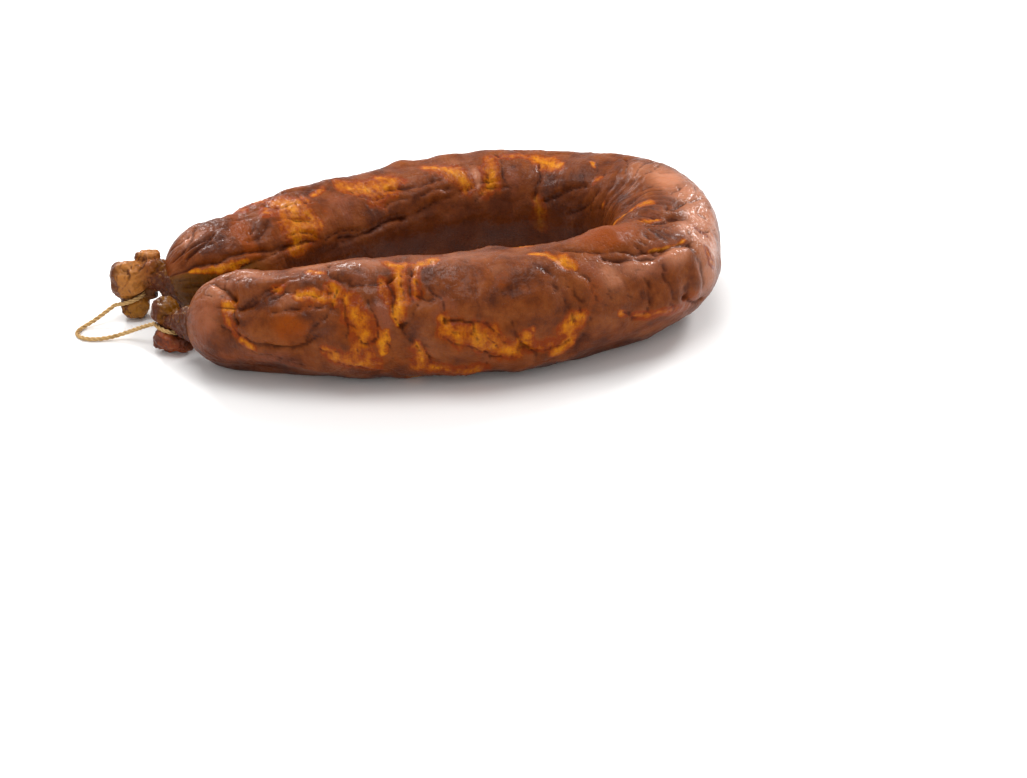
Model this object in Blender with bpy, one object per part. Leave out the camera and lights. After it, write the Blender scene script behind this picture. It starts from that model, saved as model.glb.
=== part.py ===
"""A horseshoe of coarse-cut cured sausage, its two tied ends linked by a loop of twine.

Units are metres, +Z up, and the driving dimensions below are in mm. The sausage lies on the plane z = 0
with the origin under the middle of its bounding box. The front limb runs along X at the low Y side, and
the bend is at the high X side. A point on the skin is named by its station, the distance along the
sausage from the tip of the back limb, and by its angle in degrees round it: 0 outwards from the
horseshoe, 90 up, 180 inwards, 270 down.
"""

import math

import bmesh
import bpy
import numpy as np
from mathutils import Vector

MM = 0.001

# Driving dimensions
CALIBRE = 36.0
TWINE_DIAMETER = 1.4
TOUCH_GAP = 0.3
SEAT = 0.955
DOME_LENGTH = 14.5
DOME_POWER = 2.1
TIP_RADIUS = 1.5
PLAN_CENTRE = (-0.6, -0.1)

# Middle line in plan from the back tip to the front tip, and the skin's radius as a share of half the calibre
BODY_LINE = [
    (-80.0, -10.5, 0.82),
    (-66.0, -5.0, 0.84),
    (-47.0, 6.5, 0.90),
    (-20.0, 25.0, 0.96),
    (12.0, 41.0, 1.01),
    (38.0, 44.0, 1.00),
    (60.0, 38.5, 1.02),
    (76.0, 24.0, 1.05),
    (79.0, 4.5, 1.05),
    (71.0, -16.5, 1.05),
    (53.0, -30.0, 1.05),
    (30.0, -38.5, 1.05),
    (4.0, -42.5, 1.03),
    (-24.0, -43.5, 0.99),
    (-48.0, -41.5, 0.86),
    (-67.0, -38.0, 0.83),
]

# Chunks that stand out: station, angle, half length, half width round the sausage, rise
BULGES = [
    (17, 122, 7.0, 7.0, 0.9),
    (58, 125, 9.0, 8.0, 0.8),
    (86, 130, 9.0, 7.0, 0.7),
    (117, 75, 9.0, 7.0, 1.3),
    (126, 132, 5.0, 10.0, 1.0),
    (147, 128, 8.0, 8.0, 0.9),
    (184, 55, 9.0, 8.0, 1.4),
    (236, 92, 12.0, 6.0, 1.5),
    (216, 38, 5.0, 4.5, 1.3),
    (212, 12, 2.6, 6.0, 0.9),
    (219, 8, 2.6, 6.0, 0.9),
    (226, 4, 2.6, 6.0, 0.9),
    (277, 50, 14.0, 12.0, 0.8),
    (281, 0, 12.0, 5.0, 0.9),
    (312, 80, 9.0, 6.0, 1.2),
    (326, 22, 8.0, 7.0, 0.9),
    (345, 67, 8.5, 6.0, 1.6),
]

# Folds where the skin has sunk between chunks: the line it follows as stations and angles, depth, half width
FOLDS = [
    ([(3, 128), (8, 115), (16, 104)], 1.2, 1.4),
    ([(4, 140), (10, 124), (18, 116)], 1.0, 1.4),
    ([(48, 166), (66, 158), (84, 152), (104, 140), (118, 130)], 1.6, 2.2),
    ([(119, 92), (121, 110), (120, 132)], 1.2, 1.6),
    ([(134, 112), (134.5, 130), (133, 152)], 1.5, 1.4),
    ([(214, 132), (216, 108), (213, 85), (208, 62)], 1.6, 2.0),
    ([(252, 84), (243, 74), (233, 62), (224, 52), (216, 50)], 1.8, 2.0),
    ([(259, 86), (253, 60), (247, 36), (243, 20)], 1.3, 1.8),
    ([(262, 70), (257, 48), (251, 22), (249, 8)], 1.2, 1.8),
    ([(268, -8), (265, -24)], 1.2, 1.6),
    ([(317, 88), (312, 68), (303, 66), (297, 74)], 1.3, 1.8),
    ([(303.5, 84), (303, 60), (301.5, 36), (299.5, 20)], 1.2, 1.4),
    ([(299, 18), (297, 6), (293, -4)], 1.0, 1.4),
    ([(320, 74), (319, 52), (317, 34)], 1.2, 1.6),
    ([(352, 46), (345, 47), (338, 56), (334, 70)], 1.8, 2.0),
    ([(350, 24), (343, 8), (335, 0), (326, 4), (322, 12)], 1.6, 2.0),
]

# The gathered casing from each dome to its tie: points of its middle line and the radius there
BACK_FUNNEL = [(-62, -7.5, 12.4, 10.5), (-75.5, -9, 12.3, 7.4), (-82.5, -7.5, 13.3, 4.1), (-91, -7, 13.0, 3.8)]
FRONT_FUNNEL = [(-60, -38, 13.0, 10.0), (-69.5, -35, 12.2, 6.0), (-73.5, -31.5, 11.3, 4.2), (-77, -28, 10.0, 3.6)]

# The folded casing tails beyond the ties: middle and three radii of each lobe
BACK_LOBES = [
    (-93.2, -7.5, 12.2, 6.0, 5.4, 6.6),
    (-91.6, -8.8, 4.3, 4.8, 4.6, 4.3),
    (-86.3, -5.5, 14.6, 4.3, 4.0, 3.9),
    (-87.0, -3.7, 19.0, 3.8, 2.7, 2.3),
    (-86.9, -8.0, 8.4, 2.7, 2.4, 2.2),
]
FRONT_LOBES = [
    (-77.0, -27.0, 11.4, 4.0, 4.2, 4.8),
    (-75.0, -31.3, 4.4, 6.6, 5.0, 4.4),
]

# Each tie: middle of its ring, two radii in plan, and how far it rises along X in degrees
BACK_TIE = ((-92.3, -8.2, 7.5), (4.5, 4.2), 18.0)
FRONT_TIE = ((-75.0, -29.4, 7.8), (4.9, 4.3), -12.0)
TIE_HEIGHT = 2.7

# The loop of twine between the ties, by hand: out of the back tie, down to the surface, round and up again
LOOP_ROUTE = [
    (-97.0, -11.4, 5.7),
    (-99.9, -13.0, 4.0),
    (-103.6, -15.2, 1.9),
    (-106.8, -18.2, 0.8),
    (-107.5, -21.9, 0.75),
    (-104.8, -24.8, 0.75),
    (-100.2, -25.6, 0.8),
    (-95.2, -24.8, 1.3),
    (-90.0, -24.6, 3.0),
    (-85.4, -26.2, 5.4),
    (-81.1, -28.1, 7.6),
]
LOOP_POINTS = 36
TWINE_LIFT = 0.05

CHUNK_LANES = 10
CHUNK_SPACING = 14.0
CHUNK_SINK = 1.0
STRAY_FOLDS = 30
FLAT_HALF_WIDTH = 6.5

STATIONS = 132
SIDES = 26
END_CROWDING = 2.2
COARSEST_FOLD = 2.6


def spline_through(points, count, crowding=1.0):
    """Points on the natural cubic spline through the given rows, spread evenly along it but closer at its ends."""
    rows = np.array(points, float)
    knots = np.concatenate([[0.0], np.cumsum(np.linalg.norm(np.diff(rows[:, :3], axis=0), axis=1))])
    gaps = np.diff(knots)
    size = len(rows)
    system = np.eye(size)
    wanted = np.zeros_like(rows)
    for i in range(1, size - 1):
        system[i, i - 1 : i + 2] = gaps[i - 1], 2 * (gaps[i - 1] + gaps[i]), gaps[i]
        wanted[i] = 6 * ((rows[i + 1] - rows[i]) / gaps[i] - (rows[i] - rows[i - 1]) / gaps[i - 1])
    bend = np.linalg.solve(system, wanted)

    def at(places):
        i = np.clip(np.searchsorted(knots, places, side="right") - 1, 0, size - 2)
        gap = gaps[i][:, None]
        after = (places - knots[i])[:, None]
        before = gap - after
        cubes = (bend[i] * before**3 + bend[i + 1] * after**3) / (6 * gap)
        starts = (rows[i] / gap - bend[i] * gap / 6) * before
        return cubes + starts + (rows[i + 1] / gap - bend[i + 1] * gap / 6) * after

    fine = np.linspace(0, knots[-1], 4000)
    steps = np.linalg.norm(np.diff(at(fine)[:, :3], axis=0), axis=1)
    lengths = np.concatenate([[0.0], np.cumsum(steps)])
    share = np.linspace(0, 1, count)
    share -= (1 - 1 / crowding) * np.sin(2 * math.pi * share) / (2 * math.pi)
    return at(np.interp(share * lengths[-1], lengths, fine)), share * lengths[-1]


def middle_line(count, crowding=1.0):
    """The sausage's middle line from tip to tip: points, body radii and stations, in mm."""
    half = CALIBRE / 2
    rows = [(x, y, SEAT * half * share, half * share) for x, y, share in BODY_LINE]
    line, stations = spline_through(rows, count, crowding)
    return line[:, :3], line[:, 3], stations


def axes_along(line):
    """Unit vectors along the middle line, outwards from the horseshoe, and up across it."""
    along = np.gradient(line, axis=0)
    along /= np.linalg.norm(along, axis=1)[:, None]
    out = np.cross([0.0, 0.0, 1.0], along)
    out /= np.linalg.norm(out, axis=1)[:, None]
    return along, out, np.cross(along, out)


def opening(distance):
    """How far the skin has opened from the tip of its dome, from 0 to 1."""
    left = 1 - np.clip(distance / DOME_LENGTH, 0, 1)
    return (1 - left**DOME_POWER) ** (1 / DOME_POWER)


def round_mm(angle, other):
    """The distance in mm round the skin from one angle to another, the short way."""
    return ((angle - other + 180) % 360 - 180) * math.pi / 180 * CALIBRE / 2


def hump(station, angle, middle, turn, half_long, half_round):
    """A smooth mound of height 1 on the skin."""
    across = round_mm(angle, turn)
    return np.exp(-(((station - middle) / half_long) ** 2) - (across / half_round) ** 2)


def distance_to(path, station, angle):
    """The distance in mm over the skin to a line of stations and angles."""
    nearest = np.full(np.broadcast(station, angle).shape, np.inf)
    for (from_station, from_angle), (to_station, to_angle) in zip(path, path[1:]):
        x, y = station - from_station, round_mm(angle, from_angle)
        dx, dy = to_station - from_station, round_mm(to_angle, from_angle)
        t = np.clip((x * dx + y * dy) / (dx * dx + dy * dy), 0, 1)
        nearest = np.minimum(nearest, np.hypot(x - t * dx, y - t * dy))
    return nearest


def stray_folds(draw, length):
    """Short folds scattered over the outer side of the back limb and the inner side of the front one."""
    folds = []
    for number in range(STRAY_FOLDS):
        if number % 2:
            station, angle = draw.uniform(12, 0.5 * length), draw.uniform(-75, 55)
        else:
            station, angle = draw.uniform(0.62 * length, length - 14), draw.uniform(135, 215)
        run, turn, sway = draw.uniform(-9, 9), draw.uniform(18, 46), draw.uniform(-3, 3)
        path = [(station, angle), (station + run / 2 + sway, angle + turn / 2), (station + run, angle + turn)]
        folds.append((path, draw.uniform(0.7, 1.5), draw.uniform(1.4, 2.0)))
    return folds


def relief(station, angle, length, finest_fold):
    """Height in mm of the skin over the plain tube: scattered chunks, those that stand out, and folds."""
    draw = np.random.RandomState(7)
    height = np.full(np.broadcast(station, angle).shape, -CHUNK_SINK)
    for lane in range(CHUNK_LANES):
        for place in np.arange(8.0, length, CHUNK_SPACING):
            middle = place + draw.uniform(-4, 4) + CHUNK_SPACING / 2 * (lane % 2)
            turn = lane * 360 / CHUNK_LANES + draw.uniform(-10, 10)
            half_long, half_round = draw.uniform(4.5, 8.5), draw.uniform(3.6, 6.4)
            height += draw.uniform(0.0, 1.7) * hump(station, angle, middle, turn, half_long, half_round)
    for middle, turn, half_long, half_round, rise in BULGES:
        height += rise * hump(station, angle, middle, turn, half_long, half_round)
    for path, depth, half_width in FOLDS + stray_folds(draw, length):
        away = distance_to(path, station, angle) / max(half_width, finest_fold)
        height += depth * (0.35 * np.exp(-((away - 2.0) ** 2)) - np.exp(-(away**2)))
    underneath = np.exp(-((round_mm(angle, 270) / FLAT_HALF_WIDTH) ** 4))
    return height * (1 - underneath)


def skin(count, sides, crowding, finest_fold):
    """Rings of skin points in mm, from tip to tip."""
    line, radii, stations = middle_line(count, crowding)
    _, out, up = axes_along(line)
    station, angle = stations[:, None], (np.arange(sides) * 360 / sides)[None, :]
    opened = np.minimum(opening(station), opening(stations[-1] - station))
    full = radii[:, None] + relief(station, angle, stations[-1], finest_fold)
    radius = TIP_RADIUS + (full - TIP_RADIUS) * opened
    turn = np.radians(angle)[..., None]
    around = np.cos(turn) * out[:, None, :] + np.sin(turn) * up[:, None, :]
    points = line[:, None, :] + radius[..., None] * around
    points[..., 2] = np.maximum(points[..., 2], 0)
    return points


def funnel_rings(rows, count=12, sides=18, pleats=9):
    """Rings of a pleated funnel of casing, whose pleats deepen towards the tie."""
    line, _ = spline_through(rows, count)
    points, radii = line[:, :3], line[:, 3]
    _, out, up = axes_along(points)
    share = np.linspace(0, 1, count)[:, None]
    turn = np.arange(sides) * 2 * math.pi / sides
    radius = radii[:, None] * (1 + 0.09 * share * np.cos(pleats * turn)[None, :])
    around = np.cos(turn)[None, :, None] * out[:, None, :] + np.sin(turn)[None, :, None] * up[:, None, :]
    return points[:, None, :] + radius[..., None] * around


def tie_rings(tie, grow=0.0, turns=26, sides=8):
    """Cross-sections round a tie: two turns of twine side by side as one oval band, a closed ring."""
    (x, y, z), (across, deep), rise = tie
    slope = math.tan(math.radians(rise))
    half_thick, half_high = TWINE_DIAMETER / 2 + grow, TIE_HEIGHT / 2 + grow
    rings = []
    for i in range(turns):
        turn = 2 * math.pi * i / turns
        outwards = np.array([math.cos(turn) * across, math.sin(turn) * deep, 0.0])
        reach = np.linalg.norm(outwards)
        ring = []
        for j in range(sides):
            part = 2 * math.pi * j / sides
            thick, high = half_thick * math.cos(part), half_high * math.sin(part)
            point = outwards * (reach + thick) / reach
            ring.append((x + point[0], y + point[1], z + point[0] * slope + high))
        rings.append(ring)
    return rings


def in_metres(point):
    """A point in mm as a vector in metres, about the plan's centre."""
    return Vector((point[0] - PLAN_CENTRE[0], point[1] - PLAN_CENTRE[1], point[2])) * MM


def shell_of_rings(rings, closed=False):
    """A closed bmesh through rings of points, either capped at both ends or joined end to end."""
    shell = bmesh.new()
    loops = [[shell.verts.new(in_metres(p)) for p in ring] for ring in rings]
    pairs = list(zip(loops, loops[1:]))
    if closed:
        pairs.append((loops[-1], loops[0]))
    else:
        shell.faces.new(loops[0])
        shell.faces.new(loops[-1])
    for one, two in pairs:
        for i in range(len(one)):
            j = (i + 1) % len(one)
            shell.faces.new((one[i], one[j], two[j], two[i]))
    bmesh.ops.recalc_face_normals(shell, faces=shell.faces)
    return shell


def lobe_shell(lobe):
    """A lumpy, puckered ball of folded casing, flat where it meets the surface below."""
    shell = bmesh.new()
    bmesh.ops.create_icosphere(shell, subdivisions=3, radius=1.0)
    middle, radii = Vector(lobe[:3]), lobe[3:]
    for vert in shell.verts:
        x, y, z = vert.co
        pucker = 0.05 * math.sin(4 * x + 3 * z + lobe[0]) + 0.05 * math.sin(5 * y - 4 * z + lobe[1])
        point = middle + Vector((x * radii[0], y * radii[1], z * radii[2])) * (1 + pucker)
        point.z = max(point.z, 0)
        vert.co = in_metres(point)
    return shell


def mesh_object(name, shell, material):
    """A linked, smooth mesh object made from a bmesh, which is freed."""
    mesh = bpy.data.meshes.new(name)
    shell.to_mesh(mesh)
    shell.free()
    mesh.materials.append(material)
    mesh.shade_smooth()
    mesh.set_sharp_from_angle(angle=math.radians(50))
    piece = bpy.data.objects.new(name, mesh)
    bpy.context.scene.collection.objects.link(piece)
    return piece


def finish_material(name, colour, roughness):
    """A Principled material with a plain linear colour."""
    material = bpy.data.materials.new(name)
    material.use_nodes = True
    shader = material.node_tree.nodes["Principled BSDF"]
    shader.inputs["Base Color"].default_value = (*colour, 1.0)
    shader.inputs["Roughness"].default_value = roughness
    shader.inputs["Metallic"].default_value = 0.0
    return material


def apply_modifiers(piece):
    """Replaces a piece's mesh by its evaluated one and clears its modifiers."""
    graph = bpy.context.evaluated_depsgraph_get()
    mesh = bpy.data.meshes.new_from_object(piece.evaluated_get(graph))
    piece.modifiers.clear()
    piece.data = mesh


def fused(piece, shells, material):
    """Joins the shells to a piece by one Boolean union, then removes them."""
    group = bpy.data.collections.new("casing_ends")
    bpy.context.scene.collection.children.link(group)
    for number, shell in enumerate(shells):
        end = mesh_object(f"casing_end_{number}", shell, material)
        bpy.context.scene.collection.objects.unlink(end)
        group.objects.link(end)
    union = piece.modifiers.new("union", "BOOLEAN")
    union.operation, union.solver, union.operand_type = "UNION", "MANIFOLD", "COLLECTION"
    union.collection = group
    apply_modifiers(piece)
    for end in list(group.objects):
        bpy.data.objects.remove(end)
    bpy.data.collections.remove(group)


def groove(piece, tie, name, material):
    """Cuts the seat of a tie into a piece, a touch wider than the tie."""
    cutter = mesh_object(name, shell_of_rings(tie_rings(tie, TOUCH_GAP), closed=True), material)
    cut = piece.modifiers.new(name, "BOOLEAN")
    cut.operation, cut.solver, cut.object = "DIFFERENCE", "MANIFOLD", cutter
    apply_modifiers(piece)
    bpy.data.objects.remove(cutter)


def make_sausage(casing):
    """The sausage with its gathered ends and casing tails, in one solid."""
    rings = skin(STATIONS, SIDES, END_CROWDING, COARSEST_FOLD)
    sausage = mesh_object("sausage", shell_of_rings(rings), casing)
    ends = [shell_of_rings(funnel_rings(rows)) for rows in (BACK_FUNNEL, FRONT_FUNNEL)]
    ends += [lobe_shell(lobe) for lobe in BACK_LOBES + FRONT_LOBES]
    fused(sausage, ends, casing)
    groove(sausage, BACK_TIE, "back_groove", casing)
    groove(sausage, FRONT_TIE, "front_groove", casing)
    sausage.data.shade_smooth()
    sausage.data.set_sharp_from_angle(angle=math.radians(50))


def make_loop(twine):
    """The loop of twine between the ties, as a bevelled curve."""
    curve = bpy.data.curves.new("twine_loop", "CURVE")
    curve.dimensions = "3D"
    curve.bevel_depth = TWINE_DIAMETER / 2 * MM
    curve.bevel_resolution = 2
    curve.use_fill_caps = True
    route, _ = spline_through(LOOP_ROUTE, LOOP_POINTS)
    spline = curve.splines.new("POLY")
    spline.points.add(len(route) - 1)
    lowest = TWINE_DIAMETER / 2 + TWINE_LIFT
    for point, (x, y, z) in zip(spline.points, route):
        point.co = (*in_metres((x, y, max(z, lowest))), 1.0)
    curve.materials.append(twine)
    bpy.context.scene.collection.objects.link(bpy.data.objects.new("twine_loop", curve))


def main():
    for piece in list(bpy.data.objects):
        bpy.data.objects.remove(piece)
    casing = finish_material("cured_casing", (0.22, 0.055, 0.025), 0.35)
    twine = finish_material("cotton_twine", (0.55, 0.36, 0.16), 0.85)
    make_sausage(casing)
    for name, tie in (("twine_tie_back", BACK_TIE), ("twine_tie_front", FRONT_TIE)):
        mesh_object(name, shell_of_rings(tie_rings(tie), closed=True), twine)
    make_loop(twine)


if __name__ == "__main__":
    main()
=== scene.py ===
"""The finished looks of a horseshoe of coarse-cut cured sausage, its tied ends and its loop of twine.

Lengths in the functions are in mm until a mesh is made, and meshes are in metres. A point on the skin is
named by its station, the distance along the sausage from the tip of the back limb, and by its angle in
degrees round it: 0 outwards from the horseshoe, 90 up, 180 inwards, 270 down.
"""

import math

import bmesh
import bpy
import numpy as np
from mathutils import Matrix, Vector
from mathutils import noise as solid_noise


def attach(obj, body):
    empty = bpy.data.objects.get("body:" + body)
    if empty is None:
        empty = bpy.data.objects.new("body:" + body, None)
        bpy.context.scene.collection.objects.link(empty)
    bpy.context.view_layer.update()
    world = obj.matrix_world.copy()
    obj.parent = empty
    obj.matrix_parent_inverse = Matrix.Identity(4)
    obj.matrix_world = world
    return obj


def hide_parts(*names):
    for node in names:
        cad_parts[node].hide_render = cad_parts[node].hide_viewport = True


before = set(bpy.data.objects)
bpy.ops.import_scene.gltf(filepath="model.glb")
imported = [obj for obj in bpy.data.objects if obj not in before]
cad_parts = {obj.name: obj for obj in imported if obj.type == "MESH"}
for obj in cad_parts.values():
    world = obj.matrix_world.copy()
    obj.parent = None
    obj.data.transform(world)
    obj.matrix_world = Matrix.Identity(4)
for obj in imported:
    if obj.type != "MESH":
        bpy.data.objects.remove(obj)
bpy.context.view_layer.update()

bl_info = {
    "name": "Cured sausage",
    "version": (1, 0, 0),
    "blender": (4, 5, 0),
    "location": "View3D > Sidebar > Sausage",
    "description": "Builds a horseshoe of cured sausage with tied ends and a studio to show it in",
    "category": "Add Mesh",
}

MM = 0.001

# The sausage's own sizes and middle line, which the frame's solids were made from
CALIBRE = 36.0
SEAT = 0.955
DOME_LENGTH = 14.5
DOME_POWER = 2.1
TIP_RADIUS = 1.5
PLAN_CENTRE = (-0.6, -0.1)
SKIN_ROUND = math.pi * CALIBRE
BODY_LINE = [
    (-80.0, -10.5, 0.82),
    (-66.0, -5.0, 0.84),
    (-47.0, 6.5, 0.90),
    (-20.0, 25.0, 0.96),
    (12.0, 41.0, 1.01),
    (38.0, 44.0, 1.00),
    (60.0, 38.5, 1.02),
    (76.0, 24.0, 1.05),
    (79.0, 4.5, 1.05),
    (71.0, -16.5, 1.05),
    (53.0, -30.0, 1.05),
    (30.0, -38.5, 1.05),
    (4.0, -42.5, 1.03),
    (-24.0, -43.5, 0.99),
    (-48.0, -41.5, 0.86),
    (-67.0, -38.0, 0.83),
]

# Chunks that stand out: station, angle, half length, half width round the sausage, rise
BULGES = [
    (17, 122, 7.0, 7.0, 0.9),
    (58, 125, 9.0, 8.0, 0.8),
    (86, 130, 9.0, 7.0, 0.7),
    (117, 75, 9.0, 7.0, 1.3),
    (126, 132, 5.0, 10.0, 1.0),
    (147, 128, 8.0, 8.0, 0.9),
    (184, 55, 9.0, 8.0, 1.4),
    (236, 92, 12.0, 6.0, 1.5),
    (216, 38, 5.0, 4.5, 1.3),
    (212, 12, 2.6, 6.0, 0.9),
    (219, 8, 2.6, 6.0, 0.9),
    (226, 4, 2.6, 6.0, 0.9),
    (277, 50, 14.0, 12.0, 0.8),
    (281, 0, 12.0, 5.0, 0.9),
    (312, 80, 9.0, 6.0, 1.2),
    (326, 22, 8.0, 7.0, 0.9),
    (345, 67, 8.5, 6.0, 1.6),
]

# Folds where the skin has sunk between chunks: the line it follows as stations and angles, depth, half width
FOLDS = [
    ([(3, 128), (8, 115), (16, 104)], 1.2, 1.4),
    ([(4, 140), (10, 124), (18, 116)], 1.0, 1.4),
    ([(48, 166), (66, 158), (84, 152), (104, 140), (118, 130)], 0.9, 2.2),
    ([(119, 92), (121, 110), (120, 132)], 1.2, 1.6),
    ([(134, 112), (134.5, 130), (133, 152)], 1.5, 1.4),
    ([(214, 132), (216, 108), (213, 85), (208, 62)], 1.6, 2.0),
    ([(252, 84), (243, 74), (233, 62), (224, 52), (216, 50)], 1.3, 2.0),
    ([(259, 86), (253, 60), (247, 36), (243, 20)], 0.7, 1.8),
    ([(262, 70), (257, 48), (251, 22), (249, 8)], 0.6, 1.8),
    ([(268, -8), (265, -24)], 0.9, 1.6),
    ([(317, 88), (312, 68), (303, 66), (297, 74)], 0.6, 1.8),
    ([(303.5, 84), (303, 60), (301.5, 36), (299.5, 20)], 0.6, 1.4),
    ([(299, 18), (297, 6), (293, -4)], 0.6, 1.4),
    ([(320, 74), (319, 52), (317, 34)], 0.7, 1.6),
    ([(352, 46), (345, 47), (338, 56), (334, 70)], 1.2, 2.0),
    ([(350, 24), (343, 8), (335, 0), (326, 4), (322, 12)], 1.0, 2.0),
]
CHUNK_LANES = 10
CHUNK_SPACING = 14.0
CHUNK_SINK = 1.0
STRAY_FOLDS = 30
FLAT_HALF_WIDTH = 6.5

# Creases that only the casing has: stations and angles along the line, depth, half width
CREASES = [
    ([(2, 146), (10, 143), (20, 142), (32, 145), (44, 150)], 1.4, 1.2),
    ([(20, 158), (30, 150), (36, 148)], 0.9, 0.9),
    ([(108, 150), (113, 142), (121, 139)], 0.8, 0.7),
    ([(138, 155), (146, 148), (156, 134)], 1.1, 0.9),
    ([(150, 168), (158, 156), (164, 140)], 1.0, 0.9),
    ([(207, 124), (209.5, 112), (207.5, 100)], 0.9, 0.8),
    ([(357, 27), (352, 28)], 0.5, 0.5),
]

# The photo's width and height in pixels, and its camera: mm, mm, degrees down, and metres
PHOTO_SIZE = (1027, 778)
PHOTO_LENS = 55.0
PHOTO_SENSOR = 36.0
PHOTO_PITCH = 30.0
PHOTO_CAMERA = (0.0311, -0.4604, 0.23374)

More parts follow.
